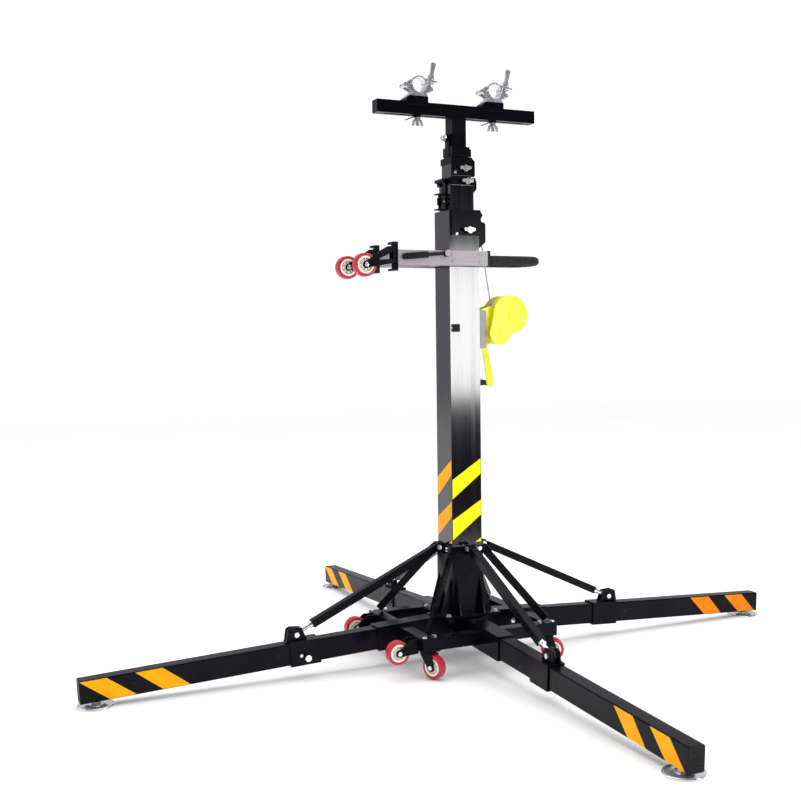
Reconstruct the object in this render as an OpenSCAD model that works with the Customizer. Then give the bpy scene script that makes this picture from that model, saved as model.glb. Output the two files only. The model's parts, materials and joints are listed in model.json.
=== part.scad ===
// Telescopic crank lighting stand: cruciform base, four-section mast, hand winch and clamp bar.
// Origin on the floor under the mast axis, +Z up. The right leg points along +X, the front leg along -Y.

/* [Legs] */
// Distance from the mast axis to the centre of each foot
leg_reach = 1212; // [1100:2:1300]
// Length of leg beyond the foot centre
leg_tip = 50; // [40:1:70]
// Width of the leg tube
leg_w = 50; // [46:1:54]
// Height of the leg tube
leg_h = 70; // [66:1:74]
// Downward slope of the legs in degrees
leg_slope = 2.8; // [2.5:0.1:3]
// Height of the leg tube axis above the foot centre
leg_axis_z = 53; // [52:0.5:55]
// Diameter of the foot pads
foot_d = 112; // [90:1:120]
// Distance from the mast axis to the outer end of the sockets
socket_end = 316; // [290:1:340]
// Distance from the mast axis to the inner end of the bracing sleeves
sleeve_start = 515; // [490:1:530]
// Length of the bracing sleeves
sleeve_len = 100; // [90:1:110]

/* [Base frame] */
// Width of the rectangular frame along X
frame_x = 490; // [486:1:494]
// Depth of the rectangular frame along Y
frame_y = 446; // [440:1:450]
// Side of the square frame tube
frame_tube = 40; // [36:1:42]
// Height of the top of the frame
frame_top = 132; // [131:0.5:133]
// Castor swivel axis, distance from the mast axis along X
castor_x = 215; // [213:1:217]
// Castor swivel axis, distance from the mast axis along Y
castor_y = 200; // [196:1:204]
// Diameter of every wheel
wheel_d = 75; // [70:1:76]
// Width of every wheel
wheel_w = 28; // [24:1:30]

/* [Mast] */
// Outer side of the fixed mast tube
mast_w = 110; // [109:0.5:111]
// Top of the fixed mast tube
tube_1_top = 1497; // [1480:1:1498]
// Outer side of the second mast tube
tube_2_w = 86; // [85:0.5:87]
// Outer side of the third mast tube
tube_3_w = 72; // [71:0.5:73]
// Outer side of the top mast tube
tube_4_w = 60; // [59:0.5:61]
// Height of the bracing collar pins
collar_pin_z = 377; // [370:1:384]

/* [Clamp bar] */
// Length of the clamp bar
bar_len = 582; // [540:2:640]
// Side of the square clamp bar
bar_side = 41; // [40:0.5:42]
// Height of the top face of the clamp bar
bar_top = 1845; // [1840:1:1850]
// Distance of each pipe clamp from the mast axis
clamp_x = 140; // [120:1:180]
// Diameter of the pipe that the clamps hold
pipe_d = 50; // [48:1:51]

/* [Transport handle] */
// Height of the centre of the handle frame
handle_z = 1336; // [1334:1:1338]
// Left end of the handle frame bars
handle_left = -257; // [-265:1:-250]
// Diameter of the foam grip
grip_d = 30; // [26:1:32]

/* [Winch] */
// Drum axis, distance from the mast axis along X
drum_x = 175; // [170:1:180]
// Height of the drum axis
drum_z = 1153; // [1140:1:1160]
// Radius of the round gear cover
cover_r = 65; // [64:0.5:68]
// Length of the crank arm between its shaft and its grip
crank_len = 176; // [165:1:190]

/* [Hidden] */

BLACK = [0.09, 0.09, 0.11];
ZINC = [0.78, 0.79, 0.80];
ALU = [0.86, 0.87, 0.88];
RED = [0.75, 0.10, 0.14];
YELLOW = [0.98, 0.93, 0.12];
FOAM = [0.06, 0.06, 0.06];

// Gaps: a welded or resting face, a running fit, and a sliding fit
joint_gap = 0.2;
run_gap = 0.05;
slide_gap = 0.6;
round_fn = 64;
bolt_r = 5;

// Leg directions as angles about Z
LEFT = 180;
FRONT = 270;
RIGHT = 0;
REAR = 90;
DIRS = [LEFT, FRONT, RIGHT, REAR];

leg_wall = 3;
leg_root = 62;
socket_wall = 4;
socket_root = 58;
socket_w = leg_w + 2 * (slide_gap + socket_wall);
socket_h = leg_h + 2 * (slide_gap + socket_wall);
hub_half = 45;
// Socket plungers, from the mast axis: the frame tubes cross the front and rear legs nearer in
function socket_pin_r(dir) = (dir == LEFT || dir == RIGHT) ? 186 : 158;
sleeve_pin_r = 563;
sleeve_pin_z = -15;
bush_len = 8;
bush_r = 10;
strut_pin_r = 590;
strut_pin_z = 141;
collar_pin_r = 85;
strut_side = 25;
rod_len = 62;
rod_r = 7;

plate_z = 149.5;
column_base = 158;
column_half = 58;
column_top = 384;
collar_half = 66;
collar_h = 22;
ear_gap = 8;
ear_t = 5;

brace_top = [62, 62, 366];
brace_foot = [222, 203, 133];
brace_w = 25;
brace_t = 12;

castor_trail = 22;
axle_r = 4;
wheel_z = 40.5;
castor_plate_z = 88;
side_wheel = [314, 180, 89.5];
handle_wheel = [365, 75.5, 1310];
fork_gap = wheel_w / 2 + 1.5;
fork_t = 3;

tube_1_wall = 4;
tube_2_wall = 3.5;
tube_3_wall = 3;
tube_4_wall = 3;
tube_2_top = 1604;
tube_3_top = 1672;
tube_4_top = 1707;
tube_2_base = 200;
tube_3_base = 230;
tube_4_base = 260;
pad_h = 40;
stem_side = 51;
stem_base = 1600;

pulley = [67, 1430];
lock_1 = [11, 1430];
lock_2 = [12, 1591];
lock_3 = [9, 1634];
sheave_2 = [58, 1585];
sheave_3 = [51, 1650];
stem_lock_z = 1737;
pulley_groove_r = 20;
pulley_rim_r = 23.3;
pulley_w = 20;
pulley_axle_r = 6;
cable_d = 5;
drum_wrap_r = 40;
// Degrees left between the bend of the cable and its straight runs
bend_gap = 0.6;

gear_teeth = 48;
pinion_teeth = 10;
gear_module = 2.5;
shaft_gap = gear_module * (gear_teeth + pinion_teeth) / 2;
pinion_angle = 237.4;
pinion_x = drum_x + shaft_gap * cos(pinion_angle);
pinion_z = drum_z + shaft_gap * sin(pinion_angle);
lobe_r = 40;
cheek_y = 26;
cheek_t = 3;
cover_y = 52;
cover_t = 2.5;
flange_r = 58;
shaft_r = 8;
// Ends of the two shafts and of the gears inside the cover
shaft_y = -cover_y + 3.5;
gear_y = -cover_y + 6;
crank_y = 74;
crank_t = 6;
crank_lean = 8.9;
hand_pin_r = 6;
hand_len = 102;
hand_r = 11;
crank_end_x = pinion_x + crank_len * sin(crank_lean);
crank_end_z = pinion_z - crank_len * cos(crank_lean);

bar_wall = 2.5;
slot_w = 13;
slot_in = 40;
slot_out = 252;
clamp_bolt_r = 6;
saddle_h = 18;
coupler_r = pipe_d / 2;
coupler_t = 5;
coupler_w = 46;
coupler_z = bar_top + 56;
hinge_x = -47;
hinge_dz = -3;
eye_x = 42;
eye_dz = -12;
eye_lean = 12;

bar_y = 75.5;
bar_t = 25;
bar_h = 48;
ring_gap = 3;
end_plate_x = 70;
end_plate_t = 10;
grip_y = 70;
grip_end = 296;
lever_pivot = [-83, 1351];
lever_angle = 185;

// ---- shared shapes ------------------------------------------------------------------------

// Box given by its two corners
module block(low, high) {
    translate(low) cube([high[0] - low[0], high[1] - low[1], high[2] - low[2]]);
}

// Cylinder along Y from y0 to y1 at (x, z)
module rod_y(x, z, r, y0, y1) {
    translate([x, y0, z]) rotate([-90, 0, 0]) cylinder(r = r, h = y1 - y0, $fn = round_fn);
}

// Cylinder along X from x0 to x1 at (y, z)
module rod_x(y, z, r, x0, x1) {
    translate([x0, y, z]) rotate([0, 90, 0]) cylinder(r = r, h = x1 - x0, $fn = round_fn);
}

// Plate in the XZ plane between y0 and y1, from a 2-D outline
module plate_y(y0, y1) {
    translate([0, y1, 0]) rotate([90, 0, 0]) linear_extrude(y1 - y0) children();
}

// Square tube of side w and wall t standing between z0 and z1
module mast_tube(w, t, z0, z1) {
    difference() {
        block([-w / 2, -w / 2, z0], [w / 2, w / 2, z1]);
        block([-w / 2 + t, -w / 2 + t, z0 - 1], [w / 2 - t, w / 2 - t, z1 + 1]);
    }
}

// Nylon guide pads round the foot of a mast section, on a tube of side w, t thick
module guide_pads(w, t, z0) {
    for (turn = [0:90:270], side = [-1, 1])
        rotate([0, 0, turn])
            translate([w / 2, side * w * 0.31 - w * 0.1, z0]) cube([t, w * 0.2, pad_h]);
}

// Places children in the axes of a leg: +X outwards along the tube, the foot centre at X = 0
module along_leg(dir) {
    rotate([0, 0, dir]) translate([leg_reach, 0, leg_axis_z]) rotate([0, leg_slope, 0]) children();
}

// Distance along the leg axes of a point at radius r from the mast axis
function leg_at(r) = (r - leg_reach) / cos(leg_slope);

// Hexagon bolt along Y: a head at each end and a shank between
module cross_bolt(x, z, reach, r) {
    rod_y(x, z, r, -reach, reach);
    for (side = [-1, 1])
        translate([x, side * (reach - 3), z]) rotate([90, 0, 0])
            cylinder(r = r * 1.75, h = 6, center = true, $fn = 6);
}

// Solid wheel about Y, centred on the origin
module wheel_solid() {
    rim = wheel_d / 2;
    half = wheel_w / 2;
    tread = 7;
    rotate([90, 0, 0]) rotate_extrude($fn = round_fn)
        polygon([
            [axle_r + run_gap, -half], [11, -half], [13, -half + 4], [rim - 11, -half + 4], [rim - tread,
                -half],
            [rim - 3, -half], [rim, -half + 4], [rim, half - 4], [rim - 3, half], [rim - tread, half],
            [rim - 11, half - 4], [13, half - 4], [11, half], [axle_r + run_gap, half]
        ]);
}

// ---- base ---------------------------------------------------------------------------------

module frame_tube_x(y) {
    half = frame_x / 2 - frame_tube;
    low = frame_top - frame_tube;
    difference() {
        block([-half, y - frame_tube / 2, low], [half, y + frame_tube / 2, frame_top]);
        block([-half + 3, y - frame_tube / 2 + 2.5, low + 2.5],
            [half - 3, y + frame_tube / 2 - 2.5, frame_top - 2.5]);
        block([-socket_w / 2 - joint_gap, y - 30, low - 1],
            [socket_w / 2 + joint_gap, y + 30, frame_top + 1]);
    }
}

module frame_tube_y(x) {
    half = frame_y / 2;
    low = frame_top - frame_tube;
    difference() {
        block([x - frame_tube / 2, -half, low], [x + frame_tube / 2, half, frame_top]);
        block([x - frame_tube / 2 + 2.5, -half + 3, low + 2.5],
            [x + frame_tube / 2 - 2.5, half - 3, frame_top - 2.5]);
        block([x - 30, -socket_w / 2 - joint_gap, low - 1],
            [x + 30, socket_w / 2 + joint_gap, frame_top + 1]);
    }
}

// Fork of a side wheel: a plate on the frame's left face and two cheeks reaching out to the axle
module side_fork(y) {
    face = -frame_x / 2;
    hub_x = -side_wheel[0];
    block([face - 4, y - fork_gap - 12, 92], [face, y + fork_gap + 12, 131]);
    for (side = [-1, 1]) {
        y_in = y + side * (fork_gap + fork_t / 2);
        plate_y(y_in - fork_t / 2, y_in + fork_t / 2) {
            polygon([[face - 4, 83], [face - 4, 129], [face - 32, 129], [hub_x + 2, 101], [hub_x, 78],
                [hub_x + 8, 79]]);
            translate([hub_x, side_wheel[2]]) circle(r = 12, $fn = round_fn);
        }
    }
    cross_axle(hub_x, y, side_wheel[2]);
}

// Axle bolt of a wheel, with its two heads outside the fork cheeks
module cross_axle(x, y, z) {
    reach = fork_gap + fork_t;
    rod_y(x, z, axle_r, y - reach - 1, y + reach + 1);
    for (side = [-1, 1])
        translate([x, y + side * (reach + 2.5), z]) rotate([90, 0, 0])
            cylinder(r = 7, h = 5, center = true, $fn = 6);
}

module perimeter_frame() color(BLACK) {
    for (y = [-1, 1]) frame_tube_x(y * (frame_y - frame_tube) / 2);
    for (x = [-1, 1]) frame_tube_y(x * (frame_x - frame_tube) / 2);
    for (x = [-1, 1], y = [-1, 1]) castor_plate(x * castor_x, y * castor_y);
    for (y = [-1, 1]) side_fork(y * side_wheel[1]);
}

module castor_plate(x, y) {
    difference() {
        block([x - 30, y - 23, castor_plate_z], [x + 30, y + 23, frame_top - frame_tube]);
        translate([x, y, castor_plate_z - 1]) cylinder(r = 6 + run_gap, h = 4.6, $fn = round_fn);
    }
}

module leg_sockets() color(BLACK) {
    x0 = leg_at(socket_root);
    x1 = leg_at(socket_end);
    for (dir = DIRS) along_leg(dir) {
        difference() {
            union() {
                block([x0, -socket_w / 2, -socket_h / 2], [x1, socket_w / 2, socket_h / 2]);
                bush(leg_at(socket_pin_r(dir)), 0);
            }
            block([x0 - 1, -leg_w / 2 - slide_gap, -leg_h / 2 - slide_gap],
                [x1 + 1, leg_w / 2 + slide_gap, leg_h / 2 + slide_gap]);
            bush_bore(leg_at(socket_pin_r(dir)), 0);
        }
    }
    difference() {
        block([-hub_half, -hub_half, 78], [hub_half, hub_half, 148]);
        block([-hub_half + 5, -hub_half + 5, 77], [hub_half - 5, hub_half - 5, 149]);
    }
    for (turn = [0:90:270])
        rotate([0, 0, turn]) block([hub_half - 0.5, -20, 100], [socket_root + 1, 20, 104]);
}

// Threaded bush that carries a leg plunger, on the side face of a socket or sleeve
module bush(x, z) {
    y0 = socket_w / 2 - 0.5;
    rod_y(x, z, bush_r, y0, y0 + bush_len);
}

module bush_bore(x, z) {
    rod_y(x, z, bolt_r + run_gap, leg_w / 2 - 5, socket_w / 2 + bush_len + 5);
}

module leg_sleeves() color(BLACK) {
    x0 = leg_at(sleeve_start);
    x1 = leg_at(sleeve_start + sleeve_len);
    for (dir = DIRS) {
        along_leg(dir) difference() {
            union() {
                block([x0, -socket_w / 2, -socket_h / 2], [x1, socket_w / 2, socket_h / 2]);
                bush(leg_at(sleeve_pin_r), sleeve_pin_z);
            }
            block([x0 - 1, -leg_w / 2 - slide_gap, -leg_h / 2 - slide_gap],
                [x1 + 1, leg_w / 2 + slide_gap, leg_h / 2 + slide_gap]);
            bush_bore(leg_at(sleeve_pin_r), sleeve_pin_z);
        }
        rotate([0, 0, dir]) for (y = [-1, 1]) sleeve_ear(y);
    }
}

// One of the two upright ears on a sleeve that hold the foot of a strut
module sleeve_ear(side) {
    y_mid = side * (ear_gap + ear_t / 2);
    difference() {
        plate_y(y_mid - ear_t / 2, y_mid + ear_t / 2) {
            polygon([[555, 123], [625, 120], [619, 159], [608, 165], [572, 162]]);
        }
        rod_y(strut_pin_r, strut_pin_z, bolt_r + joint_gap, y_mid - 5, y_mid + 5);
    }
}

module mast_column() color(BLACK) {
    inner = mast_w / 2 + joint_gap;
    difference() {
        union() {
            block([-100, -100, plate_z], [100, 100, column_base]);
            block([-column_half, -column_half, column_base - 1], [column_half, column_half, column_top]);
            block([-collar_half, -collar_half, column_top - collar_h],
                [collar_half, collar_half, column_top]);
            for (turn = [0:90:270], y = [-1, 1]) rotate([0, 0, turn]) column_gusset(y * 44);
            for (turn = [0:90:270], y = [-1, 1]) rotate([0, 0, turn]) collar_ear(y);
            for (sx = [-1, 1], sy = [-1, 1]) at_brace(sx, sy) brace_lug();
        }
        block([-inner, -inner, column_base], [inner, inner, column_top + 1]);
        for (turn = [0:90:270]) rotate([0, 0, turn])
            rod_y(collar_pin_r, collar_pin_z, bolt_r + joint_gap, -30, 30);
    }
}

module column_gusset(y) {
    plate_y(y - 2.5, y + 2.5)
        polygon([[column_half - 1, column_base - 1], [column_half + 36, column_base - 1],
        [column_half - 1, 285]]);
}

module collar_ear(side) {
    y_mid = side * (ear_gap + ear_t / 2);
    plate_y(y_mid - ear_t / 2, y_mid + ear_t / 2) {
        polygon([[column_half - 1, 350], [collar_pin_r, 363], [collar_pin_r, 391],
            [column_half - 1, column_top]]);
        translate([collar_pin_r, collar_pin_z]) circle(r = 14, $fn = round_fn);
    }
}

// Flat lug at a corner of the collar, in the upright plane of its brace
module brace_lug() {
    plate_y(-lug_half, lug_half)
        polygon([[-8, 352], [24, 352], [24, 366], [4, column_top], [-8, column_top]]);
}

// Strut from a collar ear down to its sleeve, seen in the plane of the leg
strut_run = strut_pin_r - collar_pin_r;
strut_drop = collar_pin_z - strut_pin_z;
strut_len = sqrt(strut_run * strut_run + strut_drop * strut_drop);
strut_tilt = atan2(strut_drop, strut_run);

module along_strut(dir) {
    rotate([0, 0, dir]) translate([collar_pin_r, 0, collar_pin_z]) rotate([0, strut_tilt, 0]) children();
}

module leg_struts() color(BLACK) {
    tube_end = strut_len - rod_len;
    tongue = ear_gap - joint_gap;
    for (dir = DIRS) along_strut(dir) {
        difference() {
            union() {
                block([20, -strut_side / 2, -strut_side / 2], [tube_end, strut_side / 2, strut_side / 2]);
                block([0, -tongue, -12], [22, tongue, 12]);
                rod_y(0, 0, 12, -tongue, tongue);
            }
            block([26, -strut_side / 2 + 2, -strut_side / 2 + 2],
                [tube_end - 6, strut_side / 2 - 2, strut_side / 2 - 2]);
            rod_y(0, 0, bolt_r + joint_gap, -20, 20);
        }
    }
}

module strut_hardware() color(ZINC) {
    tube_end = strut_len - rod_len;
    eye_half = ear_gap - joint_gap;
    for (dir = DIRS) {
        along_strut(dir) difference() {
            union() {
                rod_x(0, 0, rod_r, tube_end + joint_gap, strut_len - 4);
                rod_x(0, 0, 11, tube_end + joint_gap, tube_end + 10);
                rod_y(strut_len, 0, 13, -eye_half, eye_half);
            }
            rod_y(strut_len, 0, bolt_r + joint_gap, -20, 20);
        }
        rotate([0, 0, dir]) {
            cross_bolt(collar_pin_r, collar_pin_z, ear_gap + ear_t + 6.2, bolt_r);
            cross_bolt(strut_pin_r, strut_pin_z, ear_gap + ear_t + 6.2, bolt_r);
            collar_screw();
        }
        along_leg(dir) {
            sleeve_screw();
            socket_nut(dir);
        }
    }
    for (x = [-1, 1], y = [-1, 1]) {
        translate([x * (castor_x - 22), y * (castor_y - 2), frame_top + joint_gap]) castor_bolt();
        translate([x * (castor_x + 18), y * (castor_y + 12), frame_top + joint_gap]) castor_bolt();
    }
}

// Hexagon screw that clamps the collar round the mast
module collar_screw() {
    translate([collar_half + joint_gap, 40, column_top - 12]) rotate([0, 90, 0])
        cylinder(r = 8, h = 5, $fn = 6);
}

// Hexagon head of a bolt that holds a castor plate
module castor_bolt() {
    cylinder(r = 7.5, h = 4, $fn = 6);
}

// Hexagon screw head in the side of a bracing sleeve
module sleeve_screw() {
    translate([leg_at(sleeve_pin_r + 18), socket_w / 2 + joint_gap + 2, sleeve_pin_z + 8])
        rotate([90, 0, 0])
        cylinder(r = 5.5, h = 4, center = true, $fn = 6);
}

// Hexagon nut on the side of a socket that is opposite to its plunger
module socket_nut(dir) {
    translate([leg_at(socket_pin_r(dir)), -socket_w / 2 - joint_gap - 2, 0]) rotate([90, 0, 0])
        cylinder(r = 9, h = 4, center = true, $fn = 6);
}

brace_run = [brace_foot[0] - brace_top[0], brace_foot[1] - brace_top[1]];
brace_flat = sqrt(pow(brace_run[0], 2) + pow(brace_run[1], 2));
brace_drop = brace_top[2] - brace_foot[2];
lug_half = 3;

// Places children at the top of a corner brace, with +X along its plan direction
module at_brace(sx, sy) {
    translate([sx * brace_top[0], sy * brace_top[1], 0])
        rotate([0, 0, atan2(sy * brace_run[1], sx * brace_run[0])]) children();
}

module corner_braces() color(BLACK) {
    length = sqrt(pow(brace_flat, 2) + pow(brace_drop, 2));
    slot_half = lug_half + joint_gap;
    for (sx = [-1, 1], sy = [-1, 1]) at_brace(sx, sy)
        translate([0, 0, brace_top[2]]) rotate([0, atan2(brace_drop, brace_flat), 0]) difference() {
            block([8, -brace_t / 2, -brace_w / 2], [length - 11, brace_t / 2, brace_w / 2]);
            block([0, -slot_half, -brace_w], [60, slot_half, brace_w]);
        }
}

// Leg tube with its foot pad
module leg(dir) {
    color(BLACK) along_leg(dir) difference() {
        x0 = leg_at(leg_root);
        x1 = leg_at(leg_reach + leg_tip);
        block([x0, -leg_w / 2, -leg_h / 2], [x1, leg_w / 2, leg_h / 2]);
        block([x0 - 1, -leg_w / 2 + leg_wall, -leg_h / 2 + leg_wall],
            [x1 - leg_wall, leg_w / 2 - leg_wall, leg_h / 2 - leg_wall]);
        for (r = [654, 1103]) translate([leg_at(r), 0, 2]) rotate([90, 0, 0])
            cylinder(r = 5.2, h = leg_w + 2, center = true, $fn = round_fn);
    }
    color(ZINC) rotate([0, 0, dir]) translate([leg_reach, 0, 0]) foot_pad();
}

// Dished steel foot pad, with a stud that is bolted through the bottom of the leg
module foot_pad() {
    rim = foot_d / 2;
    rotate_extrude($fn = round_fn)
        polygon([
            [0, 4], [rim - 18, 0], [rim - 3, 0], [rim, 2], [rim, 5], [rim - 4, 7],
            [rim - 17, 4], [16, 8], [15, 15.5], [9, 15.5], [9, 26], [0, 26]
        ]);
}

module leg_left() leg(LEFT);
module leg_front() leg(FRONT);
module leg_right() leg(RIGHT);
module leg_rear() leg(REAR);

// The two spring plungers of one leg: one on its socket, one on its sleeve
module leg_plunger(dir) color(ZINC) along_leg(dir) {
    for (p = [[leg_at(socket_pin_r(dir)), 0], [leg_at(sleeve_pin_r), sleeve_pin_z]])
        translate([p[0], 0, p[1]])
            plunger_pin(1, leg_w / 2 + 0.4, socket_w / 2 - 0.5 + bush_len + joint_gap);
}

// Plunger along Y: a pin from y0, and a pull knob that rests on its bush at y1
module plunger_pin(side, y0, y1) {
    rotate([side > 0 ? -90 : 90, 0, 0]) {
        translate([0, 0, y0]) cylinder(r = bolt_r, h = y1 - y0 + 1, $fn = round_fn);
        translate([0, 0, y1]) cylinder(r = 8, h = 5, $fn = round_fn);
        translate([0, 0, y1 + 5]) cylinder(r = 10.5, h = 6, $fn = round_fn);
    }
}

module leg_plunger_left() leg_plunger(LEFT);
module leg_plunger_front() leg_plunger(FRONT);
module leg_plunger_right() leg_plunger(RIGHT);
module leg_plunger_rear() leg_plunger(REAR);

// ---- castors ------------------------------------------------------------------------------

// Direction in which each castor trails at rest, as an angle about Z
YAW_FRONT_LEFT = -64;
YAW_FRONT_RIGHT = -25;
YAW_REAR_LEFT = 70;
YAW_REAR_RIGHT = 35;

module at_castor(sx, sy, yaw) {
    translate([sx * castor_x, sy * castor_y, 0]) rotate([0, 0, yaw]) children();
}

module castor_fork(sx, sy, yaw) color(BLACK) at_castor(sx, sy, yaw) {
    crown_low = castor_plate_z - 7;
    crown_half = fork_gap + fork_t;
    translate([0, 0, crown_low]) cylinder(r = 26, h = 5, $fn = round_fn);
    translate([0, 0, castor_plate_z - 3]) cylinder(r = 21, h = 3 - joint_gap, $fn = round_fn);
    translate([0, 0, castor_plate_z - 3]) cylinder(r = 6, h = 6.4, $fn = round_fn);
    for (side = [-1, 1]) {
        y_mid = side * (crown_half - fork_t / 2);
        plate_y(y_mid - fork_t / 2, y_mid + fork_t / 2) {
            polygon([
                [-23, crown_low + 2], [23, crown_low + 2], [castor_trail + 12,
                    wheel_z + 6], [castor_trail - 12, wheel_z - 4]
            ]);
            translate([castor_trail, wheel_z]) circle(r = 13, $fn = round_fn);
        }
    }
    cross_axle(castor_trail, 0, wheel_z);
}

module castor_wheel(sx, sy, yaw) color(RED) at_castor(sx, sy, yaw) translate([castor_trail, 0, wheel_z])
    wheel_solid();

module castor_fork_front_left() castor_fork(-1, -1, YAW_FRONT_LEFT);
module castor_fork_front_right() castor_fork(1, -1, YAW_FRONT_RIGHT);
module castor_fork_rear_left() castor_fork(-1, 1, YAW_REAR_LEFT);
module castor_fork_rear_right() castor_fork(1, 1, YAW_REAR_RIGHT);
module castor_wheel_front_left() castor_wheel(-1, -1, YAW_FRONT_LEFT);
module castor_wheel_front_right() castor_wheel(1, -1, YAW_FRONT_RIGHT);
module castor_wheel_rear_left() castor_wheel(-1, 1, YAW_REAR_LEFT);
module castor_wheel_rear_right() castor_wheel(1, 1, YAW_REAR_RIGHT);

module side_wheel_front() color(RED) translate([-side_wheel[0], -side_wheel[1], side_wheel[2]])
    wheel_solid();
module side_wheel_rear() color(RED) translate([-side_wheel[0], side_wheel[1], side_wheel[2]]) wheel_solid();

// ---- mast ---------------------------------------------------------------------------------

module mast_tube_1() color(BLACK) {
    difference() {
        mast_tube(mast_w, tube_1_wall, column_base, tube_1_top);
        block([40, -12.5, pulley[1] - 27], [60, 12.5, pulley[1] + 27]);
        rod_y(lock_1[0], lock_1[1], bolt_r + 1, -60, -40);
    }
}

module mast_head_1() color(BLACK) {
    face = mast_w / 2 + joint_gap;
    difference() {
        union() {
            block([-48, -face - 5, 1412], [face + 4, -face, tube_1_top + 1]);
            block([face, -40, 1376], [face + 4, 40, tube_1_top + 1]);
            block([face, -face - 5, 1412], [face + 4, -39, tube_1_top + 1]);
            for (side = [-1, 1]) plate_y(side * 15 - 2.5, side * 15 + 2.5) polygon([
                [face + 3, 1376], [face + 3, 1498], [82, 1498], [90, 1486], [83, 1474],
                [84, 1464], [95, 1463], [100, 1456], [100, 1397], [76, 1376]
            ]);
            rod_y(lock_1[0], lock_1[1], 12, -face - 13, -face - 4);
        }
        block([50, -12.5, pulley[1] - 27], [face + 8, 12.5, pulley[1] + 27]);
        rod_y(lock_1[0], lock_1[1], bolt_r + run_gap, -80, -40);
    }
    rod_y(pulley[0], pulley[1], pulley_axle_r, -23, 23);
    for (side = [-1, 1]) translate([pulley[0], side * 20, pulley[1]]) rotate([90, 0, 0])
        cylinder(r = 10, h = 5, center = true, $fn = 6);
}

module head_pulley() color(ZINC) {
    half = pulley_w / 2;
    translate([pulley[0], 0, pulley[1]]) rotate([90, 0, 0]) rotate_extrude($fn = round_fn)
        polygon([
            [pulley_axle_r + run_gap, -half], [pulley_rim_r, -half], [pulley_rim_r, -half + 2],
            [pulley_groove_r - cable_d / 2 - joint_gap, -3], [pulley_groove_r - cable_d / 2 - joint_gap, 3],
            [pulley_rim_r, half - 2], [pulley_rim_r, half], [pulley_axle_r + run_gap, half]
        ]);
}

// Straight run of cable between two points in the XZ plane, at y = 0
module cable_run(a, b) {
    dx = b[0] - a[0];
    dz = b[1] - a[1];
    translate([a[0], 0, a[1]]) rotate([0, atan2(dx, dz), 0])
        cylinder(d = cable_d, h = sqrt(dx * dx + dz * dz), $fn = 24);
}

// Hoist cable: up from the drum, over the head pulley and down inside the mast
module hoist_cable() color(ZINC) {
    dx = drum_x - pulley[0];
    dz = pulley[1] - drum_z;
    gap = sqrt(dx * dx + dz * dz);
    wrap = drum_wrap_r + cable_d / 2 + joint_gap;
    lean = atan2(dx, dz) - asin((pulley_groove_r + wrap) / gap);
    top = [pulley[0] + pulley_groove_r * cos(lean), pulley[1] + pulley_groove_r * sin(lean)];
    foot = [drum_x - wrap * cos(lean), drum_z - wrap * sin(lean)];
    inner = pulley[0] - pulley_groove_r;
    cable_run(foot, top);
    cable_run([inner, 240], [inner, pulley[1]]);
    translate([pulley[0], 0, pulley[1]]) rotate([90, 0, 0]) rotate([0, 0, lean + bend_gap])
        rotate_extrude(angle = 180 - lean - 2 * bend_gap, $fn = round_fn)
            translate([pulley_groove_r, 0]) circle(d = cable_d, $fn = 24);
}

module mast_tube_2() color(BLACK) {
    mast_tube(tube_2_w, tube_2_wall, tube_2_base, tube_2_top);
    guide_pads(tube_2_w + 2 * joint_gap, 7, tube_2_base);
}

module mast_head_2() color(BLACK) {
    half = tube_2_w / 2 + joint_gap;
    difference() {
        union() {
            block([-half - 5, -half - 5, 1580], [half + 5, half + 5, tube_2_top]);
            block([-66, -30, 1590], [-half - 4, 30, 1600]);
            for (y = [-22, 22]) plate_y(y - 2.5, y + 2.5)
                polygon([[-64, 1591], [-half - 4, 1591], [-half - 4, 1580], [-52, 1580]]);
            for (y = [-14, 14]) plate_y(y - 2.5, y + 2.5) polygon([
                [half + 4, 1560], [half + 4, tube_2_top], [62, tube_2_top], [68, 1598], [68, 1572], [58,
                    1560]
            ]);
            for (z = [1499, 1549]) block([-76, -15, z], [-half - 1, 15, z + 4]);
            block([-half - 5, -15, 1499], [-half, 15, 1581]);
            rod_y(lock_2[0], lock_2[1], 11, -half - 12, -half - 4);
        }
        block([-half, -half, 1490], [half, half, tube_2_top + 1]);
        rod_y(lock_2[0], lock_2[1], bolt_r + run_gap, -70, -40);
    }
    translate([-62, 0, 1503]) cylinder(r = 5, h = 46, $fn = round_fn);
    translate([-62, 0, 1516]) cylinder(r = 9, h = 24, $fn = round_fn);
    difference() {
        rod_y(sheave_2[0], sheave_2[1], 9, -11.3, 11.3);
        rod_y(sheave_2[0], sheave_2[1], 3.2, -12, 12);
    }
    rod_y(sheave_2[0], sheave_2[1], 3, -18, 18);
}

module mast_tube_3() color(BLACK) {
    mast_tube(tube_3_w, tube_3_wall, tube_3_base, tube_3_top);
    guide_pads(tube_3_w + 2 * joint_gap, 3, tube_3_base);
}

module mast_head_3() color(BLACK) {
    half = tube_3_w / 2 + joint_gap;
    difference() {
        union() {
            block([-half - 1.5, -half - 4, 1650], [half + 4, half + 4, tube_3_top]);
            block([-34, -half - 4, 1612], [half, -half, tube_3_top]);
            for (y = [-13, 13]) plate_y(y - 2, y + 2) {
                polygon([[half + 3, 1612], [half + 3, tube_3_top], [54, tube_3_top], [63, 1664],
                    [63, 1616], [58, 1612]]);
            }
            block([half, -15, 1612], [half + 4, 15, tube_3_top]);
            rod_y(lock_3[0], lock_3[1], 11, -half - 11, -half - 3);
        }
        block([-half, -half, 1600], [half, half, tube_3_top + 1]);
        rod_y(lock_3[0], lock_3[1], bolt_r + run_gap, -60, -30);
    }
    difference() {
        rod_y(sheave_3[0], sheave_3[1], 9, -10.8, 10.8);
        rod_y(sheave_3[0], sheave_3[1], 3.2, -12, 12);
    }
    rod_y(sheave_3[0], sheave_3[1], 3, -17, 17);
}

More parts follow.
